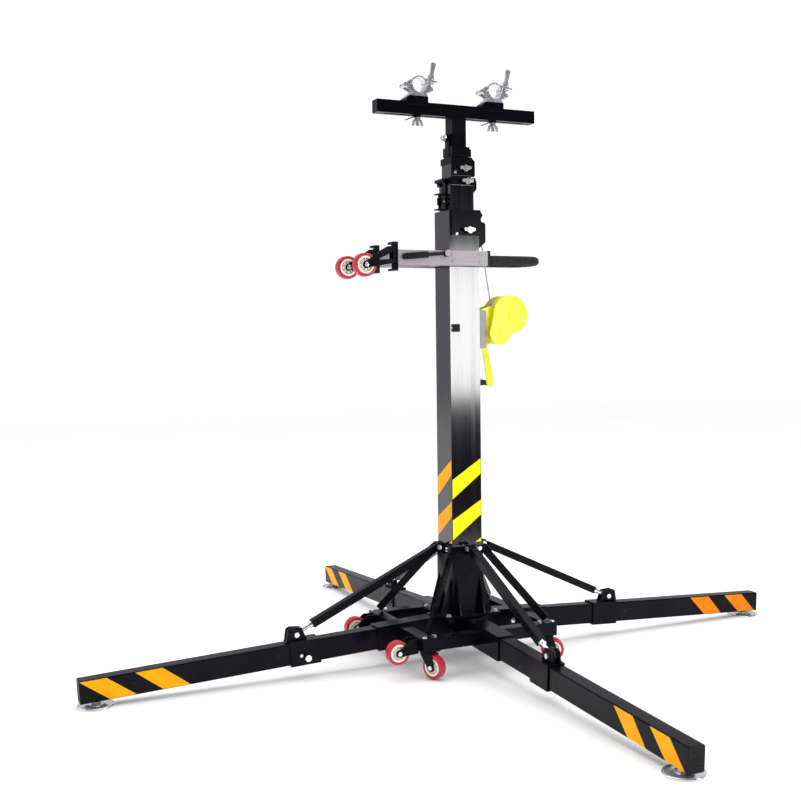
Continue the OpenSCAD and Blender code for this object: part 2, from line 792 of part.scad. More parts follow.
module mast_tube_4() color(BLACK) {
    half = tube_4_w / 2;
    mast_tube(tube_4_w, tube_4_wall, tube_4_base, tube_4_top);
    difference() {
        union() {
            block([-half - 1.5, -half - 4, 1678], [half + 4, half + 4, tube_4_top]);
            block([half + 2, -14, 1678], [half + 20, 14, tube_4_top - 3]);
            block([-half - 4, -14, 1678], [-half + 2, 14, 1752]);
            rod_x(0, stem_lock_z, 11, -half - 10, -half);
        }
        block([-half, -half, 1670], [half, half, tube_4_top + 1]);
        block([-stem_side / 2 - slide_gap, -20, tube_4_top], [0, 20, 1760]);
        rod_x(0, stem_lock_z, bolt_r + run_gap, -60, -20);
    }
    guide_pads(tube_4_w + 2 * joint_gap, 2.5, tube_4_base);
}

// Spring plunger on the front of a mast head: tip at y_tip, knob on the bush at y_bush
module lock_plunger(at, y_tip, y_bush) color(ZINC) translate([at[0], 0, at[1]]) {
    plunger_pin(-1, -y_tip, -y_bush);
    translate([-16, y_bush - 9.5, -3]) cube([32, 4, 6]);
    for (side = [-1, 1]) translate([side * 15, y_bush - 7.5, 2]) rotate([90, 0, 0])
        cylinder(r = 6, h = 4, center = true, $fn = round_fn);
}

module lock_plunger_1() lock_plunger(lock_1, -tube_2_w / 2 - 0.5, -mast_w / 2 - 13 - 2 * joint_gap);
module lock_plunger_2() lock_plunger(lock_2, -tube_2_w / 2 - 0.5, -tube_2_w / 2 - 12 - 2 * joint_gap);
module lock_plunger_3() lock_plunger(lock_3, -tube_3_w / 2 - 0.5, -tube_3_w / 2 - 11 - 2 * joint_gap);

// ---- clamp bar ----------------------------------------------------------------------------

module t_bar() color(BLACK) {
    half = bar_len / 2;
    low = bar_top - bar_side;
    difference() {
        block([-half, -bar_side / 2, low], [half, bar_side / 2, bar_top]);
        block([-half + 3, -bar_side / 2 + bar_wall, low + bar_wall],
            [half - 3, bar_side / 2 - bar_wall, bar_top - bar_wall]);
        for (side = [-1, 1]) {
            x0 = side > 0 ? slot_in : -slot_out;
            x1 = side > 0 ? slot_out : -slot_in;
            block([x0, -slot_w / 2, low - 1], [x1, slot_w / 2, bar_top + 1]);
            for (x = [x0, x1]) translate([x, 0, low - 1])
                cylinder(d = slot_w, h = bar_side + 2, $fn = round_fn);
        }
    }
    difference() {
        block([-stem_side / 2, -stem_side / 2, stem_base], [stem_side / 2, stem_side / 2, low]);
        block([-stem_side / 2 + 3, -stem_side / 2 + 3, stem_base - 1],
            [stem_side / 2 - 3, stem_side / 2 - 3, low - 4]);
    }
}

// Wing screw that locks the stem of the bar in the top mast tube
module stem_knob() color(ZINC) {
    x0 = -tube_4_w / 2 - 10 - joint_gap;
    rod_x(0, stem_lock_z, bolt_r, x0 - 4, -stem_side / 2 - 0.4);
    rod_x(0, stem_lock_z, 9, x0 - 10, x0);
    for (side = [-1, 1]) translate([x0 - 8, side * 14, stem_lock_z + 2]) rotate([0, 90, 0])
        cylinder(r = 7, h = 4, $fn = round_fn);
    block([x0 - 8, -14, stem_lock_z - 2], [x0 - 4, 14, stem_lock_z + 4]);
}

module clamp_saddle(x) color(BLACK) {
    low = bar_top - bar_side;
    difference() {
        union() {
            plate_y(-27, 27) polygon([
                [x - 50, bar_top + joint_gap], [x + 28, bar_top + joint_gap], [x + 28, bar_top + saddle_h],
                [x - 40, bar_top + saddle_h], [x - 50, bar_top + saddle_h - 8]
            ]);
            block([x - 50, -27, bar_top - 10], [x + 28, -bar_side / 2 - slide_gap, bar_top + 1]);
            block([x - 50, bar_side / 2 + slide_gap, bar_top - 10], [x + 28, 27, bar_top + 1]);
        }
        translate([x, 0, bar_top - 20]) cylinder(r = clamp_bolt_r + joint_gap, h = 60, $fn = round_fn);
    }
    difference() {
        union() {
            translate([x, 0, low - 5]) cylinder(r = 12, h = 5 - joint_gap, $fn = round_fn);
            translate([x - 8, -7, low - 4]) rotate([0, -22, 0]) mirror([1, 0, 0]) cube([36, 14, 3]);
        }
        translate([x, 0, low - 20]) cylinder(r = clamp_bolt_r + joint_gap, h = 60, $fn = round_fn);
        block([x - 60, -30, low - joint_gap], [x + 30, 30, low + 30]);
    }
}

// Lower half of a pipe coupler with its hinge lugs and its bolt down through the bar
module coupler_base(x) color(ZINC) {
    low = bar_top + saddle_h + joint_gap;
    outer = coupler_r + coupler_t;
    half = coupler_w / 2;
    difference() {
        union() {
            rod_y(x, coupler_z, outer, -half, half);
            block([x - 36, -half, low], [x + 27, half, low + 7]);
            block([x - 24, -half, low], [x + 24, half, low + 20]);
            for (side = [-1, 1]) {
                y_mid = side * 15;
                plate_y(y_mid - 4, y_mid + 4) {
                    polygon([[x + hinge_x, coupler_z + hinge_dz - 7], [x - 20, coupler_z - 24],
                        [x - 20, coupler_z - 3], [x + hinge_x, coupler_z + hinge_dz + 7]]);
                    polygon([[x + eye_x, coupler_z + eye_dz - 8], [x + 18, coupler_z - 26],
                        [x + 18, coupler_z - 4], [x + eye_x, coupler_z + eye_dz + 8]]);
                    translate([x + hinge_x, coupler_z + hinge_dz]) circle(r = 8, $fn = round_fn);
                    translate([x + eye_x, coupler_z + eye_dz]) circle(r = 8, $fn = round_fn);
                }
            }
        }
        rod_y(x, coupler_z, coupler_r, -50, 50);
        block([x - 60, -50, coupler_z + 6], [x + 70, 50, coupler_z + 60]);
        block([x - 35, -50, coupler_z - 1], [x + 35, 50, coupler_z + 60]);
        rod_y(x + hinge_x, coupler_z + hinge_dz, 4, -50, 50);
        rod_y(x + eye_x, coupler_z + eye_dz, 4, -50, 50);
    }
    translate([x, 0, bar_top - bar_side - 34])
        cylinder(r = clamp_bolt_r, h = bar_side + saddle_h + 34 + 6, $fn = round_fn);
    for (p = [[x + hinge_x, coupler_z + hinge_dz], [x + eye_x, coupler_z + eye_dz]]) {
        rod_y(p[0], p[1], 4, -22, 22);
        for (side = [-1, 1]) translate([p[0], side * 21, p[1]]) rotate([90, 0, 0])
            cylinder(r = 7, h = 4, center = true, $fn = 6);
    }
}

// Hinged upper jaw of a pipe coupler, with a slotted tail for the swing bolt
module coupler_jaw(x) color(ZINC) {
    half = 19;
    outer = coupler_r + coupler_t - 0.5;
    difference() {
        union() {
            difference() {
                rod_y(x, coupler_z, outer, -half, half);
                block([x - 60, -50, coupler_z - 60], [x + 60, 50, coupler_z + 2]);
            }
            plate_y(-half, half)
                polygon([[x + 20, coupler_z + 22], [x + 20, coupler_z + 15], [x + 66, coupler_z + 10],
                [x + 66, coupler_z + 15.2]]);
            plate_y(-10.5, 10.5) {
                polygon([[x + hinge_x, coupler_z + hinge_dz - 5],
                    [x + hinge_x + 12, coupler_z + hinge_dz - 3], [x - 24, coupler_z + 8], [x - 24,
                    coupler_z + 17], [x + hinge_x, coupler_z + hinge_dz + 7.5]]);
                translate([x + hinge_x, coupler_z + hinge_dz]) circle(r = 7.5, $fn = round_fn);
            }
        }
        rod_y(x, coupler_z, coupler_r, -50, 50);
        rod_y(x + hinge_x, coupler_z + hinge_dz, 4 + run_gap, -50, 50);
        block([x + 38, -7, coupler_z], [x + 90, 7, coupler_z + 40]);
    }
}

// Swing bolt of a coupler with its bar-handled nut
module swing_bolt(x) color(ZINC) {
    translate([x + eye_x, 0, coupler_z + eye_dz]) rotate([0, eye_lean, 0]) {
        difference() {
            union() {
                rod_y(0, 0, 8, -8, 8);
                cylinder(r = 5.5, h = 40, $fn = round_fn);
            }
            rod_y(0, 0, 4 + run_gap, -10, 10);
        }
        translate([0, 0, 37]) cylinder(r = 13, h = 3, $fn = round_fn);
        translate([0, 0, 39.5]) cylinder(r = 11, h = 10.5, $fn = 6);
        plate_y(-4, 4) polygon([[-5, 48], [5, 48], [8, 88], [6, 93], [-6, 93], [-8, 88]]);
    }
}

// Wing nut under the bar
module wing_nut(x) color(ZINC) {
    top = bar_top - bar_side - 5 - joint_gap;
    difference() {
        union() {
            translate([x, 0, top - 14]) cylinder(r = 10, h = 14, $fn = round_fn);
            plate_y(-3, 3) {
                polygon([[x - 8, top - 4], [x - 8, top - 13], [x - 13, top - 29], [x - 20, top - 29],
                    [x - 17, top - 12]]);
                polygon([[x + 8, top - 4], [x + 8, top - 13], [x + 13, top - 29], [x + 20, top - 29],
                    [x + 17, top - 12]]);
            }
        }
        translate([x, 0, top - 40]) cylinder(r = clamp_bolt_r + run_gap, h = 60, $fn = round_fn);
    }
}

module clamp_saddle_left() clamp_saddle(-clamp_x);
module clamp_saddle_right() clamp_saddle(clamp_x);
module coupler_base_left() coupler_base(-clamp_x);
module coupler_base_right() coupler_base(clamp_x);
module coupler_jaw_left() coupler_jaw(-clamp_x);
module coupler_jaw_right() coupler_jaw(clamp_x);
module swing_bolt_left() swing_bolt(-clamp_x);
module swing_bolt_right() swing_bolt(clamp_x);
module wing_nut_left() wing_nut(-clamp_x);
module wing_nut_right() wing_nut(clamp_x);

// ---- transport handle ---------------------------------------------------------------------

module handle_frame() color(ALU) {
    z0 = handle_z - bar_h / 2;
    z1 = handle_z + bar_h / 2;
    inner = mast_w / 2 + ring_gap;
    for (side = [-1, 1]) {
        y0 = side * bar_y - bar_t / 2;
        difference() {
            block([handle_left, y0, z0], [end_plate_x, y0 + bar_t, z1]);
            block([handle_left + 3, y0 + 3, z0 + 3], [end_plate_x - 3, y0 + bar_t - 3, z1 - 3]);
        }
    }
    for (x0 = [-inner - 12, inner])
        block([x0, -bar_y + bar_t / 2, z0 + 4], [x0 + 12, bar_y - bar_t / 2, z1 - 4]);
    for (side = [-1, 1])
        block([-30, min(side * (inner - 2), side * (bar_y - bar_t / 2)), z0 + 6],
        [30, max(side * (inner - 2), side * (bar_y - bar_t / 2)), z1 - 6]);
}

// Black end plates with the wheel forks on the left and the grip plate on the right
module handle_brackets() color(BLACK) {
    z0 = handle_z - bar_h / 2;
    x1 = handle_left - joint_gap;
    hub = [-handle_wheel[0], handle_wheel[2]];
    block([end_plate_x + joint_gap, -88, z0 + 2],
        [end_plate_x + end_plate_t, 88, handle_z + bar_h / 2 + 2]);
    for (side = [-1, 1]) {
        y = side * handle_wheel[1];
        block([x1 - 5, y - 22, 1292], [x1, y + 22, 1384]);
        block([x1 - 18, y - 22, 1376], [x1, y + 22, 1384]);
        block([x1 - 18, y - 22, 1292], [x1, y + 22, 1299]);
        for (arm = [-1, 1]) {
            y_mid = y + arm * (fork_gap + fork_t / 2);
            plate_y(y_mid - fork_t / 2, y_mid + fork_t / 2) difference() {
                union() {
                    polygon([[x1 - 1, 1372], [x1 - 1, 1318], [hub[0], hub[1] - 10],
                        [hub[0] - 8, hub[1] + 8], [x1 - 20, 1372]]);
                    translate(hub) circle(r = 12, $fn = round_fn);
                }
                polygon([[x1 - 14, 1352], [x1 - 14, 1330], [hub[0] + 34, 1325]]);
            }
        }
        cross_axle(hub[0], y, hub[1]);
    }
}

// Foam-covered grip bent into a U
module handle_grip() color(FOAM) {
    bend = 52;
    x0 = end_plate_x + end_plate_t + joint_gap;
    xc = grip_end - grip_d / 2 - bend;
    z = handle_z - 3;
    for (side = [-1, 1]) rod_x(side * grip_y, z, grip_d / 2, x0, xc);
    rod_y(xc + bend, z, grip_d / 2, -grip_y + bend, grip_y - bend);
    for (side = [-1, 1]) intersection() {
        translate([xc, side * (grip_y - bend), z]) rotate_extrude($fn = round_fn) translate([bend, 0])
            circle(d = grip_d, $fn = 48);
        block([xc, min(side * (grip_y - bend), side * 200), z - 50],
            [xc + 100, max(side * (grip_y - bend), side * 200), z + 50]);
    }
}

// Clamping lever on the front bar
module handle_lever() color(BLACK) {
    y0 = -bar_y - bar_t / 2 - joint_gap;
    translate([lever_pivot[0], y0, lever_pivot[1]]) rotate([90, 0, 0]) {
        cylinder(r = 12, h = 14, $fn = round_fn);
        rotate([0, 0, lever_angle]) {
            translate([0, -5.5, 3]) cube([80, 11, 8]);
            translate([70, -10, 0]) cube([78, 20, 14]);
            translate([148, 0, 0]) cylinder(r = 10, h = 14, $fn = round_fn);
        }
    }
}

module handle_wheel_front() color(RED) translate([-handle_wheel[0], -handle_wheel[1], handle_wheel[2]])
    wheel_solid();
module handle_wheel_rear() color(RED) translate([-handle_wheel[0], handle_wheel[1], handle_wheel[2]])
    wheel_solid();

// ---- winch --------------------------------------------------------------------------------

module winch_bracket() color(ZINC) {
    face = mast_w / 2 + joint_gap;
    low = 1038;
    high = 1172;
    front = 92;
    inner = cheek_y + cheek_t + joint_gap;
    outer = inner + 3;
    block([face, -outer, low], [face + 4, outer, high]);
    for (side = [-1, 1])
        plate_y(side * (inner + outer) / 2 - 1.5, side * (inner + outer) / 2 + 1.5)
            polygon([[face, low], [front, low + 4], [front, high - 6], [face, high]]);
    for (z = [1056, 1154], y = [-14, 14]) rod_x(y, z, 8, face + 4 - 0.5, face + 9);
}

// Outline of the winch side: a round gear case with a lower lobe for the pinion
module winch_outline(shrink) {
    translate([drum_x, drum_z]) circle(r = cover_r - shrink, $fn = 96);
    translate([pinion_x, pinion_z]) circle(r = lobe_r - shrink, $fn = round_fn);
    polygon([
        [pinion_x - lobe_r + shrink, pinion_z], [drum_x - cover_r + shrink, drum_z],
        [drum_x, drum_z], [drum_x + 30, drum_z - cover_r + shrink + 8], [pinion_x + lobe_r - shrink - 1,
            pinion_z - 6], [pinion_x, pinion_z]
    ]);
}

module winch_housing() color(YELLOW) {
    spacer_r = 62;
    bolt_x = drum_x + 52;
    for (side = [-1, 1]) {
        y_mid = side * (cheek_y + cheek_t / 2);
        difference() {
            plate_y(y_mid - cheek_t / 2, y_mid + cheek_t / 2) {
                winch_outline(0);
                polygon([[66, 1062], [66, 1168], [drum_x - 40, 1190], [drum_x, drum_z],
                    [pinion_x, pinion_z]]);
            }
            shaft_bores();
            for (z = [drum_z - 14, drum_z + 30]) rod_y(bolt_x, z, 2, y_mid - cheek_t, y_mid + cheek_t);
        }
    }
    difference() {
        plate_y(-cover_y, -cheek_y - cheek_t + 0.5) winch_outline(0);
        plate_y(-cover_y + cover_t, -cheek_y + 1) winch_outline(cover_t);
        shaft_bores();
    }
    rod_y(drum_x, drum_z, 7, -cover_y - 3, -cover_y + 0.5);
    rod_y(pinion_x, pinion_z, 6, -cover_y - 3, -cover_y + 0.5);
    for (a = [-30, 55])
        rod_y(drum_x + spacer_r * cos(a), drum_z + spacer_r * sin(a), 3.5, -cheek_y - 0.5, cheek_y + 0.5);
}

// Bores of the drum shaft and the pinion shaft through the winch case
module shaft_bores() {
    rod_y(drum_x, drum_z, shaft_r + run_gap, -cover_y + 1.5, cheek_y + 10);
    rod_y(pinion_x, pinion_z, shaft_r + run_gap, -cover_y + 1.5, cheek_y + 10);
}

// Spur gear along Y with short clear teeth
module spur_gear(teeth, phase, y0, y1) {
    pitch_r = gear_module * teeth / 2;
    step = 360 / teeth;
    tip = pitch_r + 0.7;
    root = pitch_r - 2;
    plate_y(y0, y1) polygon([
        for (i = [0:teeth - 1], k = [[root, -0.3], [tip, -0.15], [tip, 0.15], [root, 0.3]])
            [k[0] * cos((i + k[1]) * step + phase), k[0] * sin((i + k[1]) * step + phase)]
    ]);
}

module winch_drum() color(ZINC) translate([drum_x, 0, drum_z]) {
    flange_y = cheek_y - 4;
    rod_y(0, 0, shaft_r, shaft_y, cheek_y + cheek_t + 2);
    rod_y(0, 0, drum_wrap_r, -flange_y, flange_y);
    for (side = [-1, 1]) rod_y(0, 0, flange_r, side * flange_y - 1.5, side * flange_y + 1.5);
    spur_gear(gear_teeth, pinion_angle, gear_y, gear_y + 12);
}

module winch_crank() color(YELLOW) {
    arm_in = crank_y + crank_t;
    translate([pinion_x, 0, pinion_z]) {
        rod_y(0, 0, shaft_r, shaft_y, crank_y + 1);
        rod_y(0, 0, 12, cheek_y + cheek_t + 1, crank_y + 1);
        spur_gear(pinion_teeth, pinion_angle + 180 + 180 / pinion_teeth, gear_y - 1, gear_y + 13);
        rotate([0, 180 - crank_lean, 0]) plate_y(crank_y, arm_in) {
            polygon([[-10, 0], [10, 0], [13, crank_len], [-13, crank_len]]);
            circle(r = 14, $fn = round_fn);
            translate([0, crank_len]) circle(r = 13, $fn = round_fn);
        }
    }
    rod_y(crank_end_x, crank_end_z, hand_pin_r, arm_in - 1, arm_in + hand_len + 3);
    rod_y(crank_end_x, crank_end_z, 8, arm_in + hand_len + 1.2, arm_in + hand_len + 5);
    rod_y(pinion_x, pinion_z, 10, arm_in - 0.5, arm_in + 8);
}

module crank_grip() color(FOAM) {
    y0 = crank_y + crank_t + 1;
    translate([crank_end_x, y0, crank_end_z]) rotate([-90, 0, 0]) rotate_extrude($fn = round_fn)
        polygon([
            [hand_pin_r + run_gap, 0], [hand_r - 2, 0], [hand_r, 3], [hand_r - 2, 30], [hand_r, 60],
            [hand_r, hand_len - 8], [hand_r - 4, hand_len - 1], [hand_pin_r + run_gap, hand_len - 1]
        ]);
}

// ---- assembly -----------------------------------------------------------------------------

perimeter_frame();
leg_sockets();
mast_column();
leg_struts();
corner_braces();
strut_hardware();
leg_sleeves();
mast_tube_1();
mast_head_1();
winch_bracket();
winch_housing();
hoist_cable();
leg_left();
leg_front();
leg_right();
leg_rear();
castor_fork_front_left();
castor_fork_front_right();
castor_fork_rear_left();
castor_fork_rear_right();
castor_wheel_front_left();
castor_wheel_front_right();
castor_wheel_rear_left();
castor_wheel_rear_right();
side_wheel_front();
side_wheel_rear();
leg_plunger_left();
leg_plunger_front();
leg_plunger_right();
leg_plunger_rear();
mast_tube_2();
mast_head_2();
mast_tube_3();
mast_head_3();
mast_tube_4();
lock_plunger_1();
lock_plunger_2();
lock_plunger_3();
head_pulley();
t_bar();
stem_knob();
clamp_saddle_left();
clamp_saddle_right();
coupler_base_left();
coupler_base_right();
coupler_jaw_left();
coupler_jaw_right();
swing_bolt_left();
swing_bolt_right();
wing_nut_left();
wing_nut_right();
handle_frame();
handle_brackets();
handle_grip();
handle_lever();
handle_wheel_front();
handle_wheel_rear();
winch_drum();
winch_crank();
crank_grip();
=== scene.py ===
"""Looks of the crank lighting stand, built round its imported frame. Lengths are in metres."""
import json
import math

import bmesh
import bpy
from mathutils import Matrix, Quaternion, Vector


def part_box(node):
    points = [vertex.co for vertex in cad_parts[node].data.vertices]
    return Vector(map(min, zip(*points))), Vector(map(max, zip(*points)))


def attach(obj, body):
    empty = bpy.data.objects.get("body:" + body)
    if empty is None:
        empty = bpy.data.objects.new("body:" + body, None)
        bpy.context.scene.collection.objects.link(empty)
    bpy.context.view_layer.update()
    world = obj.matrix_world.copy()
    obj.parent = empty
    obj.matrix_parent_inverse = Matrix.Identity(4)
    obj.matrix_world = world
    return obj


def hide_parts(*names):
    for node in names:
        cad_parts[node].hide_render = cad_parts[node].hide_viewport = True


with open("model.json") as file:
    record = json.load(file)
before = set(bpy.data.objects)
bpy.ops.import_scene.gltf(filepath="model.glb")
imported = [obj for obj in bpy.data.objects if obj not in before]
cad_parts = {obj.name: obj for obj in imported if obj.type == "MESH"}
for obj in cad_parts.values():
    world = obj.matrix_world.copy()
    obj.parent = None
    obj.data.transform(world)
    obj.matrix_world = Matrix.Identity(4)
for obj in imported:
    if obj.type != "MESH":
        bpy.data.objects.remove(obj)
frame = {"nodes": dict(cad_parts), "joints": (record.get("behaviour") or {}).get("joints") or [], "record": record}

MM = 0.001
X = Vector((1, 0, 0))
Y = Vector((0, 1, 0))
Z = Vector((0, 0, 1))
RECORD = frame["record"]
JOINTS = {joint["name"]: joint for joint in frame["joints"]}
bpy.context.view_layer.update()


# ---- camera, light and floor -------------------------------------------------------------------

CAMERA_AT = Vector((-1.7545, -3.4819, 1.0783))
CAMERA_TURN = math.radians(-25.09)
CAMERA_DIP = math.radians(2.97)
CAMERA_ROLL = math.radians(-0.67)
CAMERA_LENS = 52.1
CAMERA_SHIFT = (-0.0305, -0.0028)


def make_camera():
    camera = bpy.data.objects.new("camera", bpy.data.cameras.new("camera"))
    bpy.context.scene.collection.objects.link(camera)
    turn = Matrix.Rotation(CAMERA_TURN, 4, "Z")
    dip = Matrix.Rotation(math.pi / 2 - CAMERA_DIP, 4, "X")
    roll = Matrix.Rotation(CAMERA_ROLL, 4, "Z")
    camera.matrix_world = Matrix.Translation(CAMERA_AT) @ turn @ dip @ roll
    camera.data.lens = CAMERA_LENS
    camera.data.sensor_width = 36
    camera.data.shift_x, camera.data.shift_y = CAMERA_SHIFT
    bpy.context.scene.camera = camera


def make_softbox(name, at, target, width, height, glow):
    """A rectangular lamp facing target; glow is the brightness of its surface."""
    light = bpy.data.lights.new(name, "AREA")
    light.shape = "RECTANGLE"
    light.size, light.size_y = width, height
    light.energy = glow * math.pi * width * height
    lamp = bpy.data.objects.new(name, light)
    bpy.context.scene.collection.objects.link(lamp)
    lamp.location = at
    lamp.rotation_mode = "QUATERNION"
    lamp.rotation_quaternion = (Vector(target) - Vector(at)).to_track_quat("-Z", "Y")
    return lamp


def make_world():
    """White all round for soft light; what shiny surfaces reflect is dark behind the viewer."""
    world = bpy.data.worlds.new("studio")
    bpy.context.scene.world = world
    world.use_nodes = True
    tree = world.node_tree
    tree.nodes.clear()
    output = tree.nodes.new("ShaderNodeOutputWorld")
    backdrop = tree.nodes.new("ShaderNodeBackground")
    backdrop.inputs["Color"].default_value = (1, 1, 1, 1)
    backdrop.inputs["Strength"].default_value = 1.08
    room = tree.nodes.new("ShaderNodeBackground")
    room.inputs["Strength"].default_value = 1.15
    direction = tree.nodes.new("ShaderNodeTexCoord")
    split = tree.nodes.new("ShaderNodeSeparateXYZ")
    ramp = tree.nodes.new("ShaderNodeValToRGB")
    ramp.color_ramp.elements[0].position = 0.36
    ramp.color_ramp.elements[0].color = (0.03, 0.03, 0.04, 1)
    ramp.color_ramp.elements[1].position = 0.80
    ramp.color_ramp.elements[1].color = (0.52, 0.51, 0.57, 1)
    half = tree.nodes.new("ShaderNodeMath")
    half.operation = "MULTIPLY_ADD"
    half.inputs[1].default_value = 0.5
    half.inputs[2].default_value = 0.5
    ray = tree.nodes.new("ShaderNodeLightPath")
    mix = tree.nodes.new("ShaderNodeMixShader")
    tree.links.new(direction.outputs["Generated"], split.inputs[0])
    tree.links.new(split.outputs["Y"], half.inputs[0])
    tree.links.new(half.outputs[0], ramp.inputs[0])
    tree.links.new(ramp.outputs["Color"], room.inputs["Color"])
    tree.links.new(ray.outputs["Is Glossy Ray"], mix.inputs[0])
    tree.links.new(backdrop.outputs[0], mix.inputs[1])
    tree.links.new(room.outputs[0], mix.inputs[2])
    tree.links.new(mix.outputs[0], output.inputs["Surface"])


def make_studio():
    """A tall strip in front lights the mast's face; a wide box above and one at the left fill in."""
    make_world()
    make_softbox("key_strip", (1.17, -2.35, 1.14), (0, -0.055, 1.14), 0.44, 0.78, 17)
    make_softbox("overhead", (0.3, 0.4, 4.2), (0, 0, 0.4), 3.6, 3.6, 2.2)
    make_softbox("left_fill", (-3.4, 1.0, 1.9), (0, 0, 0.8), 1.6, 2.2, 1.2)
    floor = build_floor()
    bpy.context.scene.view_settings.view_transform = "Standard"


FLOOR_FRONT = -2.1


def build_floor():
    """A wide pale floor; it stops short in front, so the column reflects the dark room there."""
    mesh = bmesh.new()
    bmesh.ops.create_grid(mesh, x_segments=24, y_segments=24, size=7)
    for vert in mesh.verts:
        vert.co.x *= 1.5
        vert.co.y += FLOOR_FRONT + 7
    floor = new_object("floor", mesh)
    shade(floor, floor_paint())
    return floor


# ---- materials ---------------------------------------------------------------------------------


class Paint:
    """A node material round one Principled shader, with helpers for its procedural detail."""

    def __init__(self, name, colour, roughness, metallic=0.0, specular=0.5):
        self.material = bpy.data.materials.new(name)
        self.material.use_nodes = True
        self.tree = self.material.node_tree
        self.shader = self.tree.nodes["Principled BSDF"]
        self.set("Base Color", (*colour, 1))
        self.set("Roughness", roughness)
        self.set("Metallic", metallic)
        self.set("Specular IOR Level", specular)

    def set(self, name, value):
        self.shader.inputs[name].default_value = value
        return self

    def link(self, source, target):
        self.tree.links.new(source, target)

    def node(self, kind, **settings):
        made = self.tree.nodes.new("ShaderNode" + kind)
        for name, value in settings.items():
            setattr(made, name, value)
        return made

    def noise(self, scale, detail=3.0, stretch=(1, 1, 1), roughness=0.55):
        """Noise with features of about 1 / scale metres, stretched along the axes."""
        place = self.node("TexCoord")
        mapping = self.node("Mapping")
        mapping.inputs["Scale"].default_value = stretch
        noise = self.node("TexNoise")
        noise.inputs["Scale"].default_value = scale
        noise.inputs["Detail"].default_value = detail
        noise.inputs["Roughness"].default_value = roughness
        self.link(place.outputs["Object"], mapping.inputs["Vector"])
        self.link(mapping.outputs["Vector"], noise.inputs["Vector"])
        return noise.outputs["Fac"]

    def spread(self, value, low, high, start=0.3, end=0.7):
        """Maps a texture value to the range low to high."""
        chosen = self.node("MapRange")
        for name, number in (("From Min", start), ("From Max", end), ("To Min", low), ("To Max", high)):
            chosen.inputs[name].default_value = number
        self.link(value, chosen.inputs["Value"])
        return chosen.outputs["Result"]

    def colours(self, value, *stops):
        """A colour ramp over a texture value; each stop is (position, (r, g, b))."""
        ramp = self.node("ValToRGB")
        elements = ramp.color_ramp.elements
        while len(elements) < len(stops):
            elements.new(0.5)
        for element, (position, colour) in zip(elements, stops):
            element.position = position
            element.color = (*colour, 1)
        self.link(value, ramp.inputs["Fac"])
        return ramp.outputs["Color"]

    def drive(self, name, value):
        self.link(value, self.shader.inputs[name])
        return self

    def bump(self, height, strength, depth):
        node = self.node("Bump")
        node.inputs["Strength"].default_value = strength
        node.inputs["Distance"].default_value = depth
        self.link(height, node.inputs["Height"])
        self.link(node.outputs["Normal"], self.shader.inputs["Normal"])
        return self


def floor_paint():
    paint = Paint("floor_paint", (0.94, 0.94, 0.94), 0.8, specular=0.1)
    tone = paint.colours(paint.noise(1.5), (0.3, (0.93, 0.93, 0.935)), (0.7, (0.95, 0.95, 0.95)))
    return paint.drive("Base Color", tone)


def powder_black():
    """Satin black powder coat with a blue cast: orange-peel bump and slightly uneven gloss."""
    paint = Paint("powder_black", (0.003, 0.003, 0.004), 0.24, specular=0.10)
    patches = paint.noise(9, detail=5)
    tone = paint.colours(patches, (0.35, (0.0015, 0.0015, 0.003)), (0.68, (0.0035, 0.0035, 0.006)))
    gloss = paint.spread(paint.noise(22, detail=4), 0.20, 0.30)
    paint.drive("Base Color", tone).drive("Roughness", gloss)
    return paint.bump(paint.noise(900, detail=2), 0.08, 0.0003)


def mast_black():
    """The same coat on the mast tubes, glossier, with the long faint draw lines of a steel tube."""
    paint = Paint("mast_black", (0.004, 0.004, 0.006), 0.13, specular=0.78)
    lines = paint.noise(110, detail=4, stretch=(1, 1, 0.004))
    tone = paint.colours(lines, (0.30, (0.0015, 0.0015, 0.003)), (0.72, (0.004, 0.003, 0.006)))
    gloss = paint.spread(lines, 0.10, 0.17)
    paint.drive("Base Color", tone).drive("Roughness", gloss)
    return paint.bump(lines, 0.8, 0.0004)


def zinc_plate():
    """Bright zinc with faint clouding and fine scratches."""
    paint = Paint("zinc_plate", (0.76, 0.77, 0.79), 0.3, metallic=0.85)
    clouds = paint.noise(25, detail=4)
    tone = paint.colours(clouds, (0.3, (0.62, 0.63, 0.66)), (0.7, (0.86, 0.86, 0.87)))
    paint.drive("Base Color", tone).drive("Roughness", paint.spread(paint.noise(60, detail=4), 0.24, 0.36))
    return paint.bump(paint.noise(500, detail=3), 0.03, 0.0002)


def polished_steel():
    """Smooth plated steel of the knobs, bolts and foot pads."""
    paint = Paint("polished_steel", (0.88, 0.88, 0.89), 0.18, metallic=0.85)
    smears = paint.noise(60, detail=3)
    tone = paint.colours(smears, (0.3, (0.78, 0.78, 0.80)), (0.7, (0.94, 0.94, 0.95)))
    paint.drive("Base Color", tone).drive("Roughness", paint.spread(smears, 0.12, 0.24))
    return paint.bump(paint.noise(300), 0.02, 0.0002)


def brushed_aluminium():
    """Anodised bars with a brushed grain along X."""
    paint = Paint("brushed_aluminium", (0.36, 0.33, 0.35), 0.5, metallic=0.15, specular=0.2)
    grain = paint.noise(700, detail=4, stretch=(0.02, 1, 1))
    tone = paint.colours(grain, (0.3, (0.30, 0.27, 0.29)), (0.7, (0.42, 0.38, 0.40)))
    paint.drive("Base Color", tone).drive("Roughness", paint.spread(grain, 0.42, 0.60))
    return paint.bump(grain, 0.10, 0.0002)


def yellow_enamel():
    """Lemon yellow gloss enamel."""
    paint = Paint("yellow_enamel", (0.80, 0.76, 0.01), 0.28, specular=0.25)
    tone = paint.colours(paint.noise(14), (0.3, (0.76, 0.70, 0.006)), (0.7, (0.82, 0.78, 0.015)))
    paint.drive("Base Color", tone).drive("Roughness", paint.spread(paint.noise(50, detail=4), 0.2, 0.36))
    return paint.bump(paint.noise(700, detail=2), 0.08, 0.0004)


